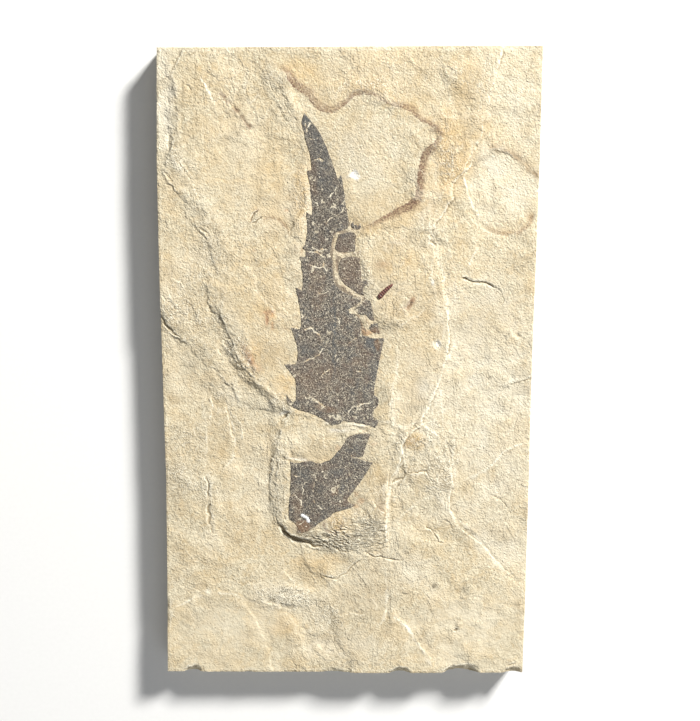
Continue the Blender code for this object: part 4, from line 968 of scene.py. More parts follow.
def paintStains(x, y, shiftX, shiftY, masks):
    # iron-stained lines, brown threads, pale lines and the edge of the iron stain
    line = np.zeros(x.shape)
    halo = np.zeros(x.shape)
    vary = 0.74 + 0.30 * wander(x, y, 3.4 * mm, 56)
    for width, strength, reach, route in ironLines:
        away, side, along = distanceTo(route, shiftX, shiftY)
        outward = away * side / mm
        body = ease(outward, -0.30, 0.05) * (1.0 - ease(outward, 0.25 * width, width * (0.9 + 0.5 * vary)))
        spread = ease(outward, -0.2, 0.3) * np.exp(-np.maximum(outward, 0) / reach)
        ends = tapered(along, 14)
        line = np.maximum(line, strength * body * vary * ends)
        halo = np.maximum(halo, strength * spread * (0.6 + 0.5 * vary) * ends)
    vary = np.clip(0.62 + 1.1 * wander(x, y, 0.8 * mm, 77), 0.0, 1.0)
    for width, strength, route in brownThreads:
        away = distanceTo(route, x + 0.4 * (shiftX - x), y + 0.4 * (shiftY - y))[0]
        line = np.maximum(line, strength * vary * (1.0 - ease(away, 0.3 * width * mm, 1.1 * width * mm)))
    masks["rust"] = np.clip(masks["rust"] + line, 0.0, 1.0)
    masks["halo"] = np.maximum(halo, masks["halo"])

    white = np.zeros(x.shape)
    vary = 0.72 + 0.45 * wander(x, y, 1.5 * mm, 59)
    for width, rise, whiteness, route in paleLines:
        away, side, along = distanceTo(route, shiftX, shiftY)
        wide = max(width, 0.62) * mm * vary
        line = whiteness * tapered(along, 8) * (1.0 - ease(away, 0.15 * wide, 0.85 * wide))
        white = np.maximum(white, line)
    masks["white"] = white * np.clip(0.66 + 0.55 * wander(x, y, 2.2 * mm, 16), 0.05, 1.0)

    away, side, along = distanceTo(ironEdge, x, y, evenly=True)
    masks["ironOut"] = np.clip(away * side / mm, -3.0, 12.0)
    masks["ironHere"] = tapered(along, 12) * (0.80 + 0.25 * wander(x, y, 5 * mm, 58))


def cavityOf(piece, share, x, y):
    # 1 in hollows and -1 on crests, from each point's height beside its neighbours; the material paints shade
    # and dirt into the hollows by it
    points = readPoints(piece)
    ends = np.empty(len(piece.data.edges) * 2, np.int32)
    piece.data.edges.foreach_get("vertices", ends)
    ends = ends.reshape(-1, 2)
    count = np.bincount(ends.ravel(), minlength=len(points))
    around = points[:, 2].copy()
    for turn in range(4):
        sums = np.bincount(ends[:, 0], around[ends[:, 1]], len(points))
        sums += np.bincount(ends[:, 1], around[ends[:, 0]], len(points))
        around = sums / np.maximum(count, 1)
    cavity = np.where(share > 0.999, np.clip((around - points[:, 2]) / (0.13 * mm), -1.0, 1.0), 0.0)
    return cavity * ease(edgeDistance(x, y), 0.3 * mm, 1.2 * mm)


def filmScraps(x, y, shiftX, shiftY):
    # scraps of film beside its ragged sides, and in the gap beside the tiles but for its bare lines
    ragged = np.clip(2.0 * strongest(x, y, raggedFilmSides), 0.0, 1.0)
    bareAway = np.full(x.shape, 1.0)
    for route in tileGap["bare"]:
        away = distanceTo(route, x + 0.8 * (shiftX - x), y + 0.8 * (shiftY - y))[0]
        bareAway = np.minimum(bareAway, away)
    bareAway += 0.22 * mm * roughWander(x, y, 0.7 * mm, 91)
    inGap = 1.0 - ease(distanceTo(tileGap["bed"], x, y)[0], 1.5 * mm, 2.0 * mm)
    scraps = 0.72 * inGap * ease(bareAway, 0.24 * mm, 0.54 * mm)
    return np.maximum(readMap(underFilm, x, y) * ragged, scraps)


def paintStone(piece, x, y, share):
    shiftX, shiftY = shaken(x, y, 0.35, 1.4, 54)
    onFace = share > 0.9
    masks = paintPatches(x, y)
    paintStains(x, y, shiftX, shiftY, masks)
    masks["cavity"] = cavityOf(piece, share, x, y)
    masks["sawn"] = 1.0 - ease(share, 0.90, 0.999)
    masks["film"] = np.where(onFace, readMap(nearFilm, x, y), 0.0)
    masks["fringe"] = filmScraps(x, y, shiftX, shiftY) * onFace
    for name, mask in masks.items():
        paint(piece, name, mask)


paintStone(stonePiece, stoneX, stoneY, stoneShare)
print("stone painted")

film = {
    "cell": 0.20 * mm,
    "margin": 0.4 * mm,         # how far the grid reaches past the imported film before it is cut
    "lift": 0.075 * mm,         # how far the film stands above its bed
    "bareLift": 0.012 * mm,     # where it has gone
    "relief": 0.020 * mm,
    "bottom": 10.52 * mm,
    "trimTop": 10.8 * mm,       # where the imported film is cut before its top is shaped
    "trimDepth": 1.0 * mm,
    "glueRise": 0.22 * mm,
}

# pale cracks through the film: width in mm and route in mm
filmCracks = [
    (0.42, [(-11.2, 32.9), (-10, 32.6), (-8.5, 32.8), (-6.6, 31.7)]),
    (0.34, [(-9, 32.5), (-7, 33.3), (-5.5, 33.5)]),
    (0.36, [(-10, 29.3), (-8.5, 28.7), (-7, 28.6), (-6, 28.9)]),
    (0.3, [(-6.5, 30.5), (-6, 28.5), (-5.2, 27)]),
    (0.4, [(-12.5, 12.1), (-10.5, 12), (-9.6, 12.3), (-9, 11.6), (-7.5, 10.4), (-7, 9), (-6.7, 8.2)]),
    (0.3, [(-9.4, 12.4), (-8, 12.2), (-6.5, 12.8), (-5.2, 14)]),
    (0.4, [(-13, 2.7), (-11.5, 2.9), (-10.3, 3.9), (-9, 4.1), (-7.8, 5), (-6.5, 6.6), (-5.3, 7.3)]),
    (0.32, [(-0.3, 7.6), (1.5, 8.9), (3.4, 10)]),
    (0.75, [(-10.6, -5.8), (-9.3, -7), (-8, -7.8), (-6.5, -8.8), (-5, -9.8)]),
    (0.3, [(-2.4, 4.5), (-2.6, 2.8)]),
    (0.45, [(0.2, -12.5), (0.5, -10.5), (1.5, -9.2), (3, -9), (4.4, -8.2), (5.8, -8.2), (7.4, -7.4)]),
    (0.4, [(-9.2, 56.3), (-8, 57), (-6.8, 56.8), (-6, 56.4)]), (0.3, [(-4, 20), (-2, 21), (-0.5, 21.3)]),
    (0.28, [(-2.5, 25.7), (-0.4, 25.5), (1.4, 25.8), (3.4, 25.4)]),
    (0.34, [(-9.4, 46.2), (-8, 45.4), (-7.2, 44)]), (0.28, [(-5, 47), (-3.6, 48.2), (-2.6, 50)]),
    (0.3, [(-3, 42), (-1.6, 43), (-1, 44.6)]), (0.3, [(-5.5, 40), (-4.4, 41.6), (-3, 42)]),
    (0.3, [(-8.6, 22.6), (-7.4, 21.6), (-6, 21.8), (-4.6, 22.4)]),
    (0.28, [(-3.4, 15.6), (-2.2, 14.4), (-2, 12.6)]),
    (0.3, [(-8, -1), (-6.6, -0.4), (-5.2, 0.8), (-3.8, 1)]),
    (0.34, [(-6, -10.5), (-4.6, -11.6), (-3, -12.2)]), (0.3, [(1.8, 1.4), (3, 0.4), (4.8, 0.2)]),
    (0.5, [(-15.5, -33.8), (-14.4, -33.9), (-13.4, -34.7), (-12.4, -35.4), (-12.6, -37.4), (-13, -39)]),
    (0.38, [(-12.4, -35.2), (-12.1, -33), (-12.3, -30.5)]),
    (0.34, [(-8.9, -30), (-9.3, -32), (-9.2, -33.5)]),
    (0.38, [(-9.7, -35), (-8.5, -36.5), (-7, -38), (-6.5, -38.7)]),
    (0.34, [(0.2, -22), (1.5, -23.2), (3.5, -23.5), (5.2, -24.6)]),
    (0.46, [(-14.6, -44.3), (-14, -42.5), (-12.5, -41.8), (-11, -41)]),
    (0.3, [(-5, -27.4), (-3.8, -28.6), (-3.4, -30.4)]), (0.3, [(-15, -28), (-13.6, -28.6), (-12.4, -28.2)]),
    (0.32, [(-1.4, -30), (0, -31.4), (0.6, -33)]), (0.26, [(-10.8, 62.5), (-9, 62.2), (-6.6, 62.3)]),
    (0.44, [(-11, 63.6), (-10.4, 65), (-9.2, 66.8)]), (0.34, [(-11.2, 66.6), (-10.6, 65), (-10.2, 63.4)]),
]

# places where the film is worn down to the stone: x, y, half width, half height, turn, strength
filmWear = [
    (-11, -8, 4, 0.8, -28, 0.4), (-4.4, -11.8, 3, 0.9, -15, 0.42), (4, -11.8, 3, 0.8, 8, 0.36),
    (-3.2, 35.2, 0.4, 0.8, 0, 0.45), (4.6, 12.6, 1, 2.4, -10, 0.9), (-3.8, -32.5, 0.7, 0.9, 0, 0.7),
    (-1.2, -32, 0.5, 0.6, 0, 0.5), (4.6, -10.4, 2.6, 1.6, 20, 0.28), (-8, -8.6, 2.4, 0.6, -32, 0.42),
    (-7.6, 56.8, 1.5, 0.5, 0, 0.45), (-6, 38.2, 3, 0.7, 5, 0.5), (-9.6, 40.2, 1.2, 1.6, 0, 0.4),
    (-6.4, 31.8, 2.6, 1.6, 0, 0.35), (-12.6, -41.2, 1.2, 1.2, 0, 0.5), (-11.2, -6.4, 2.2, 1.2, -10, 0.4),
    (2.4, 16.4, 0.8, 1.6, 0, 0.5), (-4.6, 10, 1.6, 3, -20, 0.22), (-10, 16, 1.2, 3, 0, 0.2),
    (1.5, -6.5, 2.4, 1, 0, 0.3), (-2, -11.6, 2.2, 0.8, 10, 0.45), (-15.2, -8, 0.9, 0.9, 0, 0.5),
    (-9.4, 49, 0.6, 4, 0, 0.35),
]
filmTints = {
    "orange": [
        (8.3, 8, 0.8, 1.4, 0, 0.8), (2, 3, 1.6, 1.2, 20, 0.35), (-11, -2, 1.8, 2.4, 0, 0.35),
        (-12.5, -43, 2.4, 1.6, 10, 0.9), (7.2, 11.6, 1.6, 1.2, 0, 0.75), (-5.6, -9.6, 3.5, 1, -10, 0.4),
        (-13.6, -37, 1.2, 4, 0, 0.35), (-6, -26, 4, 1.2, 0, 0.25), (-3.8, -32.5, 1, 1.2, 0, 0.6),
        (-8, 24, 2, 6, 0, 0.2), (4.8, 5, 1.6, 3, 0, 0.2), (1, 35, 4, 4, 0, 0.2), (1.5, 28, 4, 5, 0, 0.32),
        (-8, -2, 8, 5, 0, 0.2), (-9, 52, 1.4, 5, 0, 0.2), (0, -36, 2, 1.4, 0, 0.35),
    ],
    "slate": [
        (6, 7.8, 1.8, 1.9, 0, 1), (-10.4, 66, 0.9, 2.2, 15, 0.8), (-7, 58, 2.4, 9, 10, 0.45),
        (-3, -27, 2.2, 2, 0, 0.5), (-1, 38, 1.6, 1.4, 0, 0.6), (-6, 60, 1, 5, 10, 0.3),
        (3, -19.6, 1.2, 3, 0, 0.4), (1, 4, 1.2, 4, 0, 0.3), (-12, -29, 2, 3, 0, 0.35),
        (6.6, 2, 1.2, 4, 8, 0.45), (-3.6, 9, 0.3, 14, 0, 0.75), (1, 24, 1.4, 3, 0, 0.25),
        (-11, 4, 1.6, 4, 0, 0.25), (5.6, -6.6, 1.2, 2.4, 0, 0.3),
    ],
    "shade": [
        (-6, 43, 5, 6, 0, 0.45), (-10, -36, 5, 8, 0, 0.4), (-7, 52, 5, 17, 10, 0.55),
        (-6, 36, 6, 6, 0, 0.4), (-13, -26, 3, 9, 0, 0.25), (-2, -22, 5, 4, 20, 0.2),
    ],
}
glueDrop = {"route": [(-12.3, -39.6), (-11.7, -39.9), (-11.0, -40.4), (-10.6, -41.3)], "width": 0.95}


def missingFilm(x, y):
    # how far the film has gone, and how deep inside a crack a place lies, in mm
    shiftX, shiftY = shaken(x, y, 0.24, 1.2, 61)
    crack = np.full(x.shape, -0.5)
    vary = 0.72 + 0.6 * wander(x, y, 0.9 * mm, 63)
    for width, route in filmCracks:
        away, side, along = distanceTo(route, shiftX, shiftY)
        half = 0.48 * width * mm * (0.10 + 0.90 * tapered(along, 3.2)) * vary
        crack = np.maximum(crack, (half - away) / mm)
    gone = np.zeros(x.shape)
    speckled = 0.5 + 0.5 * wander(x, y, 0.55 * mm, 64) + 0.25 * wander(x, y, 1.6 * mm, 65)
    for spot in filmWear:
        inside = inBlob(shiftX, shiftY, spot)
        gone = np.maximum(gone, 0.8 * ease(inside * spot[5] * 1.1 - speckled * 0.72, 0.0, 0.30))
    rim = readMap(underFilm, x, y)
    frayed = 0.5 + 0.5 * wander(x, y, 0.7 * mm, 66)
    gone = np.maximum(gone, ease(0.62 - rim + 0.22 * (frayed - 0.72), 0.0, 0.14) * ease(frayed, 0.5, 0.85))
    flakes = roughWander(x, y, 0.9 * mm, 67)
    sparse = wander(x, y, 6 * mm, 68)
    return np.maximum(gone, 0.8 * ease(flakes + 0.45 * sparse, 1.06, 1.20)), crack


def cutFilm(node):
    # a fine grid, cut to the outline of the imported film
    low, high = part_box(node)
    deselectAll()
    cutter = bpy.data.objects.new(node + "Film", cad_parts[node].data.copy())
    bpy.context.scene.collection.objects.link(cutter)
    makeActive(cutter)
    bpy.ops.object.mode_set(mode="EDIT")
    bpy.ops.mesh.select_all(action="SELECT")
    bpy.ops.mesh.remove_doubles(threshold=0.00001)
    leaveFacingOut()

    width, length = high.x - low.x + 2 * film["margin"], high.y - low.y + 2 * film["margin"]
    deselectAll()
    columns, rows = (max(4, round(size / film["cell"])) for size in (width, length))
    bpy.ops.mesh.primitive_grid_add(
        x_subdivisions=columns, y_subdivisions=rows, size=1.0,
        location=((low.x + high.x) / 2, (low.y + high.y) / 2, film["trimTop"]))
    piece = bpy.context.active_object
    piece.scale = (width, length, 1.0)
    bpy.ops.object.transform_apply(location=True, rotation=True, scale=True)
    bpy.ops.object.mode_set(mode="EDIT")
    bpy.ops.mesh.select_all(action="SELECT")
    bpy.ops.mesh.extrude_region_move(TRANSFORM_OT_translate={"value": (0, 0, -film["trimDepth"])})
    leaveFacingOut()
    cut = piece.modifiers.new("filmOutline", "BOOLEAN")
    cut.operation = "INTERSECT"
    cut.solver = "EXACT"
    cut.object = cutter
    makeActive(piece)
    bpy.ops.object.modifier_apply(modifier=cut.name)
    cutterMesh = cutter.data
    bpy.data.objects.remove(cutter)
    bpy.data.meshes.remove(cutterMesh)
    piece.name = node + "Film"
    return piece


def makeFilm(node):
    piece = cutFilm(node)
    points = readPoints(piece)
    x, y = points[:, 0].copy(), points[:, 1].copy()
    onTop = points[:, 2] > film["trimTop"] - 0.02 * mm
    points[:, 0], points[:, 1] = shaken(x, y, 0.07, 0.9, 71)
    gone, crack = missingFilm(points[:, 0], points[:, 1])
    bare = np.maximum(gone, ease(crack, -0.12, 0.04))
    bed = stoneHeight(points[:, 0], points[:, 1])
    relief = film["relief"] * roughWander(x, y, 0.8 * mm, 73)
    lifted = bed + (film["lift"] + relief) * (1.0 - bare) + film["bareLift"] * bare
    away = distanceTo(glueDrop["route"], points[:, 0], points[:, 1])[0]
    drop = np.sqrt(np.clip(1.0 - (away / (0.5 * glueDrop["width"] * mm)) ** 2, 0.0, 1.0))
    points[:, 2] = np.where(onTop, lifted + film["glueRise"] * drop, film["bottom"])
    writePoints(piece, points)
    paint(piece, "gone", gone)
    paint(piece, "crack", crack)
    paint(piece, "glue", ease(drop, 0.05, 0.35))
    warpX, warpY = shaken(x, y, 0.5, 1.8, 74)
    for name, blobs in filmTints.items():
        paint(piece, name, strongest(warpX, warpY, blobs))
    makeActive(piece)
    bpy.ops.object.shade_smooth_by_angle(angle=math.radians(50))
    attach(piece, "root")
    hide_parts(node)
    return piece


filmPieces = [makeFilm(node) for node in filmNodes]
print("films made:", sum(len(piece.data.polygons) for piece in filmPieces), "faces")

twig = {
    "start": (8.15, 20.25),     # lower end in mm
    "finish": (12.15, 24.15),
    "radius": 0.68 * mm,
    "segments": 9,
    "sunk": 0.30,               # share of the radius below the bed
    "bend": 0.16 * mm,
    "flatness": 0.62,
}


def makeTwig():
    start = Vector((twig["start"][0] * mm, twig["start"][1] * mm, 0))
    finish = Vector((twig["finish"][0] * mm, twig["finish"][1] * mm, 0))
    length = (finish - start).length
    direction = (finish - start).normalized()
    deselectAll()
    bpy.ops.mesh.primitive_uv_sphere_add(segments=28, ring_count=64, radius=1.0)
    piece = bpy.context.active_object
    piece.name = "twigFragment"
    bpy.ops.object.mode_set(mode="EDIT")
    bpy.ops.mesh.select_all(action="SELECT")
    bpy.ops.transform.rotate(value=math.radians(90), orient_axis="Y", center_override=(0, 0, 0))
    bpy.ops.object.mode_set(mode="OBJECT")
    points = readPoints(piece)
    along = np.arcsin(np.clip(points[:, 0], -1, 1)) / (math.pi / 2)
    ring = np.hypot(points[:, 1], points[:, 2]) + 1e-9
    around = np.arctan2(points[:, 2], points[:, 1])
    blunt = np.clip((1.0 - np.abs(along)) * 5.0, 0.0, 1.0) ** 0.55
    beads = np.abs(np.sin((along * 0.5 + 0.5) * math.pi * twig["segments"])) ** 0.6
    taper = 0.92 - 0.20 * along - 0.34 * np.clip(along, 0.0, 1.0) ** 2
    width = taper * blunt * (0.62 + 0.38 * beads)
    width *= 1.0 + 0.10 * wander(along * 4 * mm, around * mm, 0.8 * mm, 81)
    radius = twig["radius"] * width
    reach = along * length * 0.5
    across = radius * points[:, 1] / ring + twig["bend"] * np.cos(along * math.pi * 0.5)
    up = twig["flatness"] * radius * points[:, 2] / ring
    centre = (start + finish) / 2
    points[:, 0] = centre.x + reach * direction.x - across * direction.y
    points[:, 1] = centre.y + reach * direction.y + across * direction.x
    bed = stoneHeight(points[:, 0], points[:, 1])
    points[:, 2] = bed + up + twig["radius"] * (0.55 - twig["sunk"]) * 0.5
    writePoints(piece, points)
    paint(piece, "bead", beads)
    makeActive(piece)
    bpy.ops.object.mode_set(mode="EDIT")
    leaveFacingOut()
    bpy.ops.object.shade_smooth()
    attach(piece, "root")
    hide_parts("twig_fragment")
    return piece


twigPiece = makeTwig()
makeActive(stonePiece)
bpy.ops.object.shade_smooth_by_angle(angle=math.radians(42))
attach(stonePiece, "root")
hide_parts("stone_plate")
print("twig made")


def plug(tree, value, socket):
    if isinstance(value, bpy.types.NodeSocket):
        tree.links.new(value, socket)
    elif value is not None:
        socket.default_value = value


def mathNode(tree, operation, first, second=None):
    node = tree.nodes.new("ShaderNodeMath")
    node.operation = operation
    plug(tree, first, node.inputs[0])
    plug(tree, second, node.inputs[1])
    return node.outputs[0]


def plus(tree, first, second):
    return mathNode(tree, "ADD", first, second)


def minus(tree, first, second):
    return mathNode(tree, "SUBTRACT", first, second)


def times(tree, first, *others):
    for other in others:
        first = mathNode(tree, "MULTIPLY", first, other)
    return first


def remap(tree, value, low, high, outLow=0.0, outHigh=1.0):
    node = tree.nodes.new("ShaderNodeMapRange")
    node.interpolation_type = "SMOOTHSTEP"
    for socket, given in zip(node.inputs, (value, low, high, outLow, outHigh)):
        plug(tree, given, socket)
    return node.outputs[0]


def mixColour(tree, share, first, second):
    node = tree.nodes.new("ShaderNodeMix")
    node.data_type = "RGBA"
    plug(tree, share, node.inputs["Factor"])
    plug(tree, first, node.inputs[6])
    plug(tree, second, node.inputs[7])
    return node.outputs[2]


def tint(tree, colour, target, *shares):
    # the target colour laid over the first one, by the product of the shares
    return mixColour(tree, times(tree, *shares), colour, target)


def noiseNode(tree, place, scale, detail=3.0, roughness=0.55, distortion=0.0):
    node = tree.nodes.new("ShaderNodeTexNoise")
    plug(tree, place, node.inputs["Vector"])
    plug(tree, scale, node.inputs["Scale"])
    node.inputs["Detail"].default_value = detail
    node.inputs["Roughness"].default_value = roughness
    node.inputs["Distortion"].default_value = distortion
    return node.outputs["Fac"]


def noiseMask(tree, place, noise, *limits):
    # noise is its scale, detail, roughness and distortion; limits are those of remap
    return remap(tree, noiseNode(tree, place, *noise), *limits)


def stretch(tree, place, scale=(1.0, 1.0, 1.0), turn=(0.0, 0.0, 0.0)):
    node = tree.nodes.new("ShaderNodeMapping")
    plug(tree, place, node.inputs["Vector"])
    node.inputs["Rotation"].default_value = turn
    node.inputs["Scale"].default_value = scale
    return node.outputs["Vector"]


def readAttribute(tree, name):
    node = tree.nodes.new("ShaderNodeAttribute")
    node.attribute_name = name
    return node.outputs["Fac"]


def newGroup(name, inputs, outputs):
    # inputs are names with a starting value, or none for a place; outputs are names of values
    tree = bpy.data.node_groups.new(name, "ShaderNodeTree")
    for label, value in inputs.items():
        kind = "NodeSocketVector" if value is None else "NodeSocketFloat"
        socket = tree.interface.new_socket(label, in_out="INPUT", socket_type=kind)
        if value is not None:
            socket.default_value = value
    for label in outputs:
        tree.interface.new_socket(label, in_out="OUTPUT", socket_type="NodeSocketFloat")
    return tree, tree.nodes.new("NodeGroupInput").outputs, tree.nodes.new("NodeGroupOutput").inputs


def useGroup(tree, group, **values):
    node = tree.nodes.new("ShaderNodeGroup")
    node.node_tree = group
    for label, value in values.items():
        plug(tree, value, node.inputs[label])
    return node.outputs


def newMaterial(name):
    material = bpy.data.materials.new(name)
    material.use_nodes = True
    tree = material.node_tree
    place = tree.nodes.new("ShaderNodeTexCoord").outputs["Object"]
    return material, tree, tree.nodes["Principled BSDF"], place


def addBump(tree, shader, height, distance):
    node = tree.nodes.new("ShaderNodeBump")
    node.inputs["Strength"].default_value = 1.0
    node.inputs["Distance"].default_value = distance
    plug(tree, height, node.inputs["Height"])
    tree.links.new(node.outputs["Normal"], shader.inputs["Normal"])


# limestone's grain: fine sugary texture, used by the stone, the film over it and the twig
def buildStoneGrain():
    tree, given, wanted = newGroup("stoneGrain", {"Place": None, "Size": 1.0}, ("Tone", "Specks", "Height"))
    scale = mathNode(tree, "DIVIDE", 1.0, given["Size"])
    place = stretch(tree, given["Place"], turn=(0.52, 0.33, 0.61))
    other = stretch(tree, given["Place"], turn=(-0.37, 0.58, -0.44))
    fine = noiseNode(tree, place, times(tree, scale, 2150.0), 1.0, 0.60)
    middle = noiseNode(tree, other, times(tree, scale, 1150.0), 2.0, 0.60, 0.4)
    broad = noiseNode(tree, place, times(tree, scale, 260.0), 4.0, 0.60, 0.5)
    tone = plus(tree, times(tree, fine, 0.52), times(tree, middle, 0.30))
    tone = plus(tree, tone, times(tree, broad, 0.18))
    plug(tree, remap(tree, tone, 0.38, 0.61), wanted["Tone"])
    cells = tree.nodes.new("ShaderNodeTexVoronoi")
    plug(tree, place, cells.inputs["Vector"])
    plug(tree, times(tree, scale, 1150.0), cells.inputs["Scale"])
    sparse = noiseMask(tree, place, (times(tree, scale, 520.0), 2.0), 0.47, 0.62)
    specks = times(tree, remap(tree, cells.outputs["Distance"], 0.10, 0.30, 1.0, 0.0), sparse)
    plug(tree, specks, wanted["Specks"])
    height = plus(tree, times(tree, fine, 0.19), times(tree, middle, 0.25))
    height = minus(tree, height, times(tree, specks, 0.07))
    plug(tree, times(tree, height, given["Size"]), wanted["Height"])
    return tree


# the edges of paper-thin beds: height in mm, and a line along each edge
def buildLaminae():
    tree, given, wanted = newGroup(
        "laminae", {"Place": None, "Scale": 60.0, "Beds": 6.0, "Rise": 0.1}, ("Height", "Line"))
    turnedPlace = stretch(tree, given["Place"], turn=(0.41, 0.29, 0.52))
    field = times(tree, noiseNode(tree, turnedPlace, given["Scale"], 5.0, 0.54, 0.4), given["Beds"])
    within = mathNode(tree, "FRACT", field)
    stair = plus(tree, mathNode(tree, "FLOOR", field), remap(tree, within, 0.44, 0.56))
    plug(tree, times(tree, stair, given["Rise"]), wanted["Height"])
    fromEdge = mathNode(tree, "ABSOLUTE", minus(tree, within, 0.5))
    plug(tree, remap(tree, fromEdge, 0.03, 0.14, 1.0, 0.0), wanted["Line"])
    return tree


# thin beds seen on the sawn sides, and saw marks across them
def buildBedding():
    tree, given, wanted = newGroup("bedding", {"Place": None}, ("Beds", "Saw"))
    layers = stretch(tree, given["Place"], (18.0, 18.0, 1500.0))
    plug(tree, noiseMask(tree, layers, (1.0, 4.0, 0.65), 0.34, 0.66), wanted["Beds"])
    strokes = stretch(tree, given["Place"], (260.0, 260.0, 4200.0), (0.0, 0.05, 0.0))
    plug(tree, noiseNode(tree, strokes, 1.0, 2.0, 0.5), wanted["Saw"])
    return tree


stoneGrain = buildStoneGrain()
bedding = buildBedding()
laminae = buildLaminae()

stoneColours = {
    "base": (0.720, 0.642, 0.466, 1.0),
    "shade": (0.485, 0.416, 0.284, 1.0),     # the darker grains
    "tan": (0.610, 0.461, 0.255, 1.0),
    "pale": (0.800, 0.730, 0.570, 1.0),
    # grey-brown; in some patches it is painted shade
    "grey": (0.400, 0.345, 0.245, 1.0),
    "rust": (0.205, 0.125, 0.082, 1.0),
    "halo": (0.640, 0.458, 0.235, 1.0),
    "gold": (0.600, 0.420, 0.190, 1.0),
    "cool": (0.715, 0.665, 0.540, 1.0),
    "freckle": (0.560, 0.439, 0.275, 1.0),
    "ember": (0.480, 0.235, 0.105, 1.0),
    "speck": (0.230, 0.175, 0.115, 1.0),
    "spot": (0.120, 0.095, 0.060, 1.0),
    "fresh": (0.900, 0.870, 0.790, 1.0),
    # dark brown: dirt, and painted shade in hollows, bed edges and chisel streaks
    "shadeAndDirt": (0.270, 0.210, 0.130, 1.0),
    "crumb": (0.330, 0.250, 0.165, 1.0),
    "scrap": (0.190, 0.145, 0.108, 1.0),
    "powder": (0.880, 0.830, 0.680, 1.0),
}

# how strongly each painted patch colours the stone, in the order they are laid
patchStrength = {
    "tan": 0.80, "pale": 0.80, "cool": 0.75, "grey": 0.72, "halo": 0.85, "gold": 0.85, "ember": 0.80,
    "rust": 0.95,
}


def layGround(tree, place, tone):
    # cream stone with tan clouds and blotches, freckles, and broad paler areas
    hues = stoneColours
    colour = mixColour(tree, tone, hues["shade"], hues["base"])
    cloud = noiseMask(tree, place, (150.0, 6.0, 0.66, 0.8), 0.42, 0.64)
    colour = tint(tree, colour, hues["tan"], cloud, 0.42)
    blotch = noiseMask(tree, place, (480.0, 4.0, 0.65, 0.8), 0.52, 0.68)
    colour = tint(tree, colour, hues["tan"], blotch, 0.45)
    freckle = noiseMask(tree, stretch(tree, place, turn=(0.3, 0.7, 0.2)), (900.0, 3.0, 0.62), 0.55, 0.66)
    uneven = minus(tree, 0.50, times(tree, readAttribute(tree, "smooth"), 0.30))
    colour = tint(tree, colour, hues["freckle"], freckle, uneven)
    lighter = noiseMask(tree, place, (60.0, 4.0, 0.55, 0.3), 0.46, 0.66)
    return tint(tree, colour, hues["pale"], lighter, 0.22)


def layIron(tree, place, colour):
    # the iron stain: a dark band along its edge, and a glow that fades outwards
    here = readAttribute(tree, "ironHere")
    wide = readAttribute(tree, "ironWide")
    ragged = times(tree, minus(tree, noiseNode(tree, place, 1000.0, 4.0, 0.70), 0.5), 1.7)
    outward = plus(tree, readAttribute(tree, "ironOut"), ragged)
    width = noiseMask(tree, place, (170.0, 2.0), 0.35, 0.65, 0.7, 1.6)
    width = plus(tree, width, times(tree, wide, 1.8))
    glow = times(tree, remap(tree, outward, -1.0, 9.0, 1.0, 0.0), remap(tree, outward, -0.15, 0.35))
    colour = tint(tree, colour, stoneColours["halo"], glow, here, 0.50)
    fade = remap(tree, outward, times(tree, width, 0.55), width, 1.0, 0.0)
    dark = times(tree, remap(tree, outward, -0.20, 0.08), fade, remap(tree, wide, 0.0, 1.0, 0.58, 0.92))
    core = times(tree, remap(tree, outward, -0.10, 0.05), remap(tree, outward, 0.30, 0.95, 1.0, 0.0), 0.26)
    mottled = noiseMask(tree, place, (2000.0, 3.0, 0.70), 0.38, 0.58, 0.40, 1.25)
    return tint(tree, colour, stoneColours["rust"], plus(tree, dark, core), mottled, here)


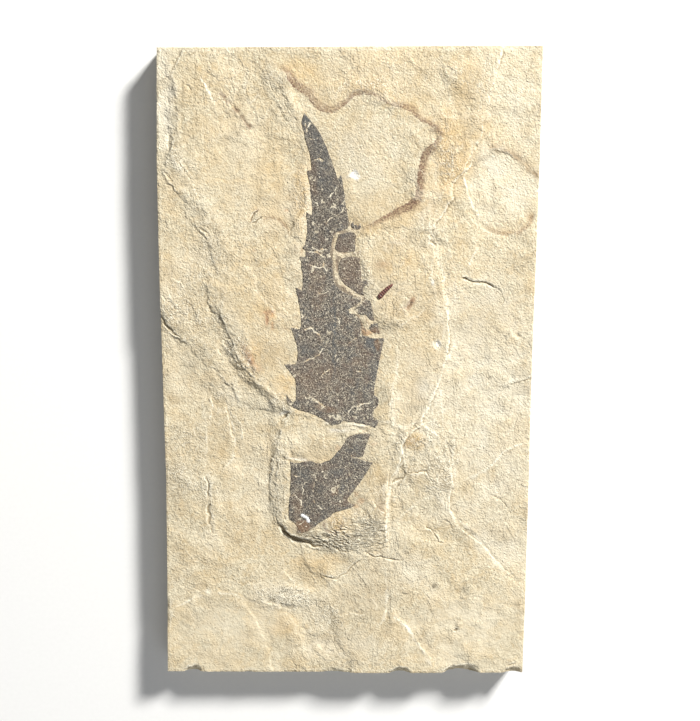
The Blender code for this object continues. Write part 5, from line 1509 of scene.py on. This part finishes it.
def makeLimestone():
    material, tree, shader, place = newMaterial("limestone")
    hues = stoneColours
    grain = useGroup(tree, stoneGrain, Place=place, Size=1.0)
    beds = useGroup(tree, bedding, Place=place)
    elsewhere = stretch(tree, place, turn=(0.2, -0.5, 1.1))
    nearLeaf = readAttribute(tree, "film")
    rough = readAttribute(tree, "rough")
    hatch = readAttribute(tree, "hatch")
    sawn = readAttribute(tree, "sawn")
    gentle = readAttribute(tree, "gentle")
    keptTone = minus(tree, 1.0, times(tree, gentle, 0.45))
    tone = plus(tree, times(tree, grain["Tone"], keptTone), times(tree, gentle, 0.26))
    colour = layGround(tree, place, tone)

    mottle = noiseMask(tree, place, (420.0, 4.0, 0.65), 0.30, 0.70, 0.55, 1.25)
    for name, strength in patchStrength.items():
        colour = tint(tree, colour, hues[name], readAttribute(tree, name), mottle, strength)
    beside = noiseMask(tree, place, (1300.0, 4.0, 0.68), 0.53, 0.64)
    colour = tint(tree, colour, hues["crumb"], nearLeaf, beside, 0.62)
    torn = times(tree, minus(tree, noiseNode(tree, elsewhere, 1250.0, 4.0, 0.70), 0.5), 1.5)
    scraps = remap(tree, plus(tree, readAttribute(tree, "fringe"), torn), 0.55, 0.63)
    colour = tint(tree, colour, hues["scrap"], scraps, 0.80)
    colour = layIron(tree, place, colour)
    colour = tint(tree, colour, hues["speck"], grain["Specks"], 0.55)
    colour = tint(tree, colour, hues["spot"], readAttribute(tree, "spot"), 0.85)

    # thin beds in three sizes: broad, slanted, and small ones where the stone is rough
    calm = minus(tree, 1.0, times(tree, nearLeaf, 0.75))
    level = minus(tree, 1.0, times(tree, readAttribute(tree, "smooth"), 0.80))
    where = times(tree, noiseMask(tree, place, (38.0, 3.0, 0.6), 0.40, 0.60, 0.25, 1.0), calm, level)
    wide = useGroup(tree, laminae, Place=place, Scale=52.0, Beds=7.0, Rise=0.11)
    slanted = stretch(tree, place, (2.6, 0.8, 1.0), (0.0, 0.0, -0.62))
    narrow = useGroup(tree, laminae, Place=slanted, Scale=85.0, Beds=8.0, Rise=0.07)
    jagged = stretch(tree, place, (1.5, 1.0, 1.0), (0.2, -0.5, 0.9))
    tiny = useGroup(tree, laminae, Place=jagged, Scale=190.0, Beds=6.0, Rise=0.095)
    ragged = mathNode(tree, "MINIMUM", times(tree, rough, calm, 1.1), 1.0)
    tinyLine = times(tree, tiny["Line"], ragged)
    edges = times(tree, mathNode(tree, "MAXIMUM", wide["Line"], narrow["Line"]), where)
    edges = mathNode(tree, "MAXIMUM", edges, tinyLine)
    # the bed edges drawn as lines, some dark in painted shade and dirt, some pale, as a noise picks
    either = noiseMask(tree, place, (120.0, 2.0), 0.46, 0.54)
    lineColour = mixColour(tree, either, hues["shadeAndDirt"], hues["pale"])
    colour = tint(tree, colour, lineColour, edges, plus(tree, times(tree, ragged, 0.20), 0.28))
    colour = tint(tree, colour, hues["powder"], tinyLine, 0.55)

    # crumbly stone, the hatch strokes at the leaf's base, painted shade and dirt in the hollows of the
    # relief, and paler crests
    coarse = useGroup(tree, stoneGrain, Place=elsewhere, Size=0.75)
    crumbled = remap(tree, coarse["Tone"], 0.30, 0.62, 1.0, 0.0)
    colour = tint(tree, colour, hues["grey"], crumbled, rough, 0.72)
    colour = tint(tree, colour, hues["powder"], remap(tree, coarse["Tone"], 0.60, 0.90), rough, 0.55)
    lying = stretch(tree, place, (760.0, 2500.0, 800.0), (0.0, 0.0, -0.16))
    streaks = noiseNode(tree, lying, 1.0, 3.0, 0.62, 0.5)
    # the hatch strokes streaked with painted shade and dirt, and paler between them
    colour = tint(tree, colour, hues["shadeAndDirt"], remap(tree, streaks, 0.38, 0.48, 0.56, 0.0), hatch)
    colour = tint(tree, colour, hues["powder"], remap(tree, streaks, 0.54, 0.64, 0.0, 0.55), hatch)
    cavity = readAttribute(tree, "cavity")
    # painted shade and dirt darken the hollows, and the crests are painted paler
    colour = tint(tree, colour, hues["shadeAndDirt"], remap(tree, cavity, 0.14, 0.72, 0.0, 0.76))
    raised = remap(tree, times(tree, cavity, -1.0), 0.15, 0.62, 0.0, 0.60)
    colour = tint(tree, colour, hues["powder"], raised)
    layered = mixColour(tree, beds["Beds"], hues["shade"], hues["pale"])
    colour = tint(tree, colour, layered, sawn, 0.62)
    colour = tint(tree, colour, hues["powder"], readAttribute(tree, "white"), mottle, 0.85)
    colour = tint(tree, colour, hues["fresh"], readAttribute(tree, "fresh"), 1.25)
    plug(tree, colour, shader.inputs["Base Color"])
    plug(tree, remap(tree, grain["Tone"], 0.0, 1.0, 0.90, 0.74), shader.inputs["Roughness"])
    shader.inputs["Specular IOR Level"].default_value = 0.28

    # the relief too fine for the mesh, in mm
    height = plus(tree, times(tree, grain["Height"], keptTone), times(tree, beds["Saw"], sawn, 0.16))
    steps = times(tree, plus(tree, wide["Height"], narrow["Height"]), where, minus(tree, 1.0, sawn))
    height = plus(tree, height, plus(tree, steps, times(tree, tiny["Height"], ragged)))
    height = plus(tree, height, times(tree, coarse["Height"], rough, 1.7))
    height = plus(tree, height, times(tree, remap(tree, streaks, 0.36, 0.60, 0.0, 0.34), hatch))
    addBump(tree, shader, height, 1.0 * mm)
    return material


filmColours = {
    "carbon": (0.156, 0.138, 0.119, 1.0),
    "thin": (0.246, 0.214, 0.174, 1.0),      # where the stone's grain shows through
    "slate": (0.098, 0.108, 0.112, 1.0),
    "brown": (0.165, 0.112, 0.085, 1.0),
    "orange": (0.250, 0.150, 0.085, 1.0),
    "dark": (0.060, 0.050, 0.042, 1.0),
    "glue": (0.900, 0.900, 0.880, 1.0),
}


def veinsOf(tree, place):
    # a net of hair-thin cracks, its lines bent by noise
    wobble = tree.nodes.new("ShaderNodeTexNoise")
    wobble.inputs["Scale"].default_value = 900.0
    wobble.inputs["Detail"].default_value = 3.0
    tree.links.new(place, wobble.inputs["Vector"])
    bent = tree.nodes.new("ShaderNodeVectorMath")
    bent.operation = "MULTIPLY_ADD"
    tree.links.new(wobble.outputs["Color"], bent.inputs[0])
    bent.inputs[1].default_value = (0.0013, 0.0013, 0.0013)
    tree.links.new(place, bent.inputs[2])
    crackle = tree.nodes.new("ShaderNodeTexVoronoi")
    crackle.feature = "DISTANCE_TO_EDGE"
    crackle.inputs["Scale"].default_value = 340.0
    tree.links.new(bent.outputs["Vector"], crackle.inputs["Vector"])
    return remap(tree, crackle.outputs["Distance"], 0.004, 0.040, 1.0, 0.0)


def makeCarbon():
    material, tree, shader, place = newMaterial("leafCarbon")
    hues = filmColours
    grain = useGroup(tree, stoneGrain, Place=place, Size=0.85)
    stoneTone = mixColour(tree, grain["Tone"], stoneColours["shade"], stoneColours["pale"])
    patchy = noiseMask(tree, stretch(tree, place, turn=(0.5, 0.4, 0.9)), (620.0, 6.0, 0.82), 0.36, 0.66)
    colour = mixColour(tree, patchy, hues["carbon"], hues["thin"])
    ribs = noiseNode(tree, stretch(tree, place, (1700.0, 260.0, 800.0), (0, 0, 0.14)), 1.0, 3.0, 0.6)
    colour = tint(tree, colour, hues["dark"], remap(tree, ribs, 0.50, 0.72, 0.0, 0.45))
    turnedPlace = stretch(tree, place, turn=(0.6, -0.4, 0.5))
    crumbs = noiseMask(tree, turnedPlace, (3000.0, 3.0, 0.70), 0.52, 0.61)
    colour = tint(tree, colour, stoneTone, crumbs)
    hollows = stretch(tree, place, turn=(-0.5, 0.3, 1.1))
    pits = noiseMask(tree, hollows, (2700.0, 3.0, 0.70), 0.47, 0.57, 0.0, 0.97)
    colour = tint(tree, colour, hues["dark"], pits)
    hue = noiseNode(tree, turnedPlace, 430.0, 4.0, 0.70)
    colour = tint(tree, colour, hues["brown"], remap(tree, hue, 0.50, 0.66, 0.0, 0.42))
    colour = tint(tree, colour, hues["slate"], remap(tree, hue, 0.34, 0.48, 0.38, 0.0))
    colour = tint(tree, colour, hues["dark"], readAttribute(tree, "shade"), 0.5)
    covering = remap(tree, patchy, 0.0, 1.0, 0.9, 0.5)
    for name in ("slate", "orange"):
        colour = tint(tree, colour, hues[name], readAttribute(tree, name), covering)
    some = noiseMask(tree, place, (330.0, 3.0), 0.46, 0.62, 0.0, 0.42)
    colour = tint(tree, colour, stoneTone, veinsOf(tree, place), some)
    crackTone = mixColour(tree, remap(tree, hue, 0.46, 0.60), stoneColours["pale"], stoneColours["freckle"])
    frayed = times(tree, minus(tree, noiseNode(tree, place, 2200.0, 2.0), 0.5), 0.26)
    split = remap(tree, plus(tree, readAttribute(tree, "crack"), frayed), -0.06, 0.03)
    colour = tint(tree, colour, crackTone, split, 0.84)
    flaky = times(tree, minus(tree, noiseNode(tree, turnedPlace, 1500.0, 3.0, 0.65), 0.5), 0.9)
    gone = remap(tree, plus(tree, readAttribute(tree, "gone"), flaky), 0.34, 0.56, 0.0, 0.80)
    colour = tint(tree, colour, stoneTone, gone)
    glue = readAttribute(tree, "glue")
    colour = tint(tree, colour, hues["glue"], glue)
    plug(tree, colour, shader.inputs["Base Color"])
    rough = minus(tree, remap(tree, patchy, 0.0, 1.0, 0.58, 0.78), times(tree, glue, 0.35))
    plug(tree, rough, shader.inputs["Roughness"])
    shader.inputs["Specular IOR Level"].default_value = 0.35
    height = plus(tree, grain["Height"], times(tree, ribs, 0.06))
    addBump(tree, shader, times(tree, height, minus(tree, 1.0, glue)), 1.3 * mm)
    return material


twigColours = {
    "dark": (0.016, 0.004, 0.005, 1.0),
    "light": (0.130, 0.030, 0.025, 1.0),
    "bead": (0.300, 0.150, 0.110, 1.0),
}


def makeTwigBrown():
    material, tree, shader, place = newMaterial("twigBrown")
    grain = useGroup(tree, stoneGrain, Place=place, Size=0.7)
    colour = mixColour(tree, grain["Tone"], twigColours["dark"], twigColours["light"])
    beads = remap(tree, readAttribute(tree, "bead"), 0.55, 0.98)
    worn = remap(tree, grain["Tone"], 0.2, 0.8, 0.3, 1.0)
    colour = tint(tree, colour, twigColours["bead"], beads, worn, 0.62)
    plug(tree, colour, shader.inputs["Base Color"])
    plug(tree, remap(tree, grain["Tone"], 0.0, 1.0, 0.50, 0.70), shader.inputs["Roughness"])
    addBump(tree, shader, grain["Height"], 0.8 * mm)
    return material


def makeFloorMaterial():
    material, tree, shader, place = newMaterial("paleFloor")
    paper = noiseNode(tree, place, 900.0, 3.0, 0.5)
    colour = mixColour(tree, paper, (0.80, 0.80, 0.79, 1.0), (0.84, 0.84, 0.83, 1.0))
    plug(tree, colour, shader.inputs["Base Color"])
    shader.inputs["Roughness"].default_value = 0.85
    return material


def dress(piece, material):
    piece.data.materials.clear()
    piece.data.materials.append(material)


dress(stonePiece, makeLimestone())
carbon = makeCarbon()
for piece in filmPieces:
    dress(piece, carbon)
dress(twigPiece, makeTwigBrown())
print("materials made")

studio = {
    "keyPlace": (0.80, 1.00, 0.80),
    "keySize": 0.26,
    "keyPower": 46.0,
    "keyColour": (1.0, 0.985, 0.955),
    "fillPlace": (0.10, -0.55, 0.70),
    "fillSize": 0.9,
    "fillPower": 2.4,
    "fillColour": (0.96, 0.98, 1.0),
    "worldColour": (0.97, 0.98, 1.0, 1.0),
    "worldStrength": 0.13,
    "cameraPlace": (0.00070, 0.07405, 0.37984),
    "cameraTilt": -10.8335,
    "lens": 70.0,
    "floorSize": 3.0,
}


def addArea(name):
    place = studio[name + "Place"]
    deselectAll()
    bpy.ops.object.light_add(type="AREA", location=place)
    lamp = bpy.context.active_object
    lamp.name = name + "Light"
    lamp.data.size = studio[name + "Size"]
    lamp.data.energy = studio[name + "Power"]
    lamp.data.color = studio[name + "Colour"]
    aim = Vector((0, 0, 0.01)) - Vector(place)
    lamp.rotation_euler = aim.to_track_quat("-Z", "Y").to_euler()


deselectAll()
bpy.ops.mesh.primitive_plane_add(size=studio["floorSize"], location=(0, 0, 0))
floor = bpy.context.active_object
floor.name = "floor"
dress(floor, makeFloorMaterial())

addArea("key")
addArea("fill")
world = bpy.data.worlds.new("softRoom")
bpy.context.scene.world = world
world.use_nodes = True
world.node_tree.nodes["Background"].inputs["Color"].default_value = studio["worldColour"]
world.node_tree.nodes["Background"].inputs["Strength"].default_value = studio["worldStrength"]

deselectAll()
bpy.ops.object.camera_add(location=studio["cameraPlace"], rotation=(math.radians(studio["cameraTilt"]), 0, 0))
camera = bpy.context.active_object
camera.data.lens = studio["lens"]
camera.data.sensor_width = 36.0
camera.data.clip_start = 0.01
bpy.context.scene.camera = camera
bpy.context.scene.view_settings.view_transform = "Standard"
print("studio set")
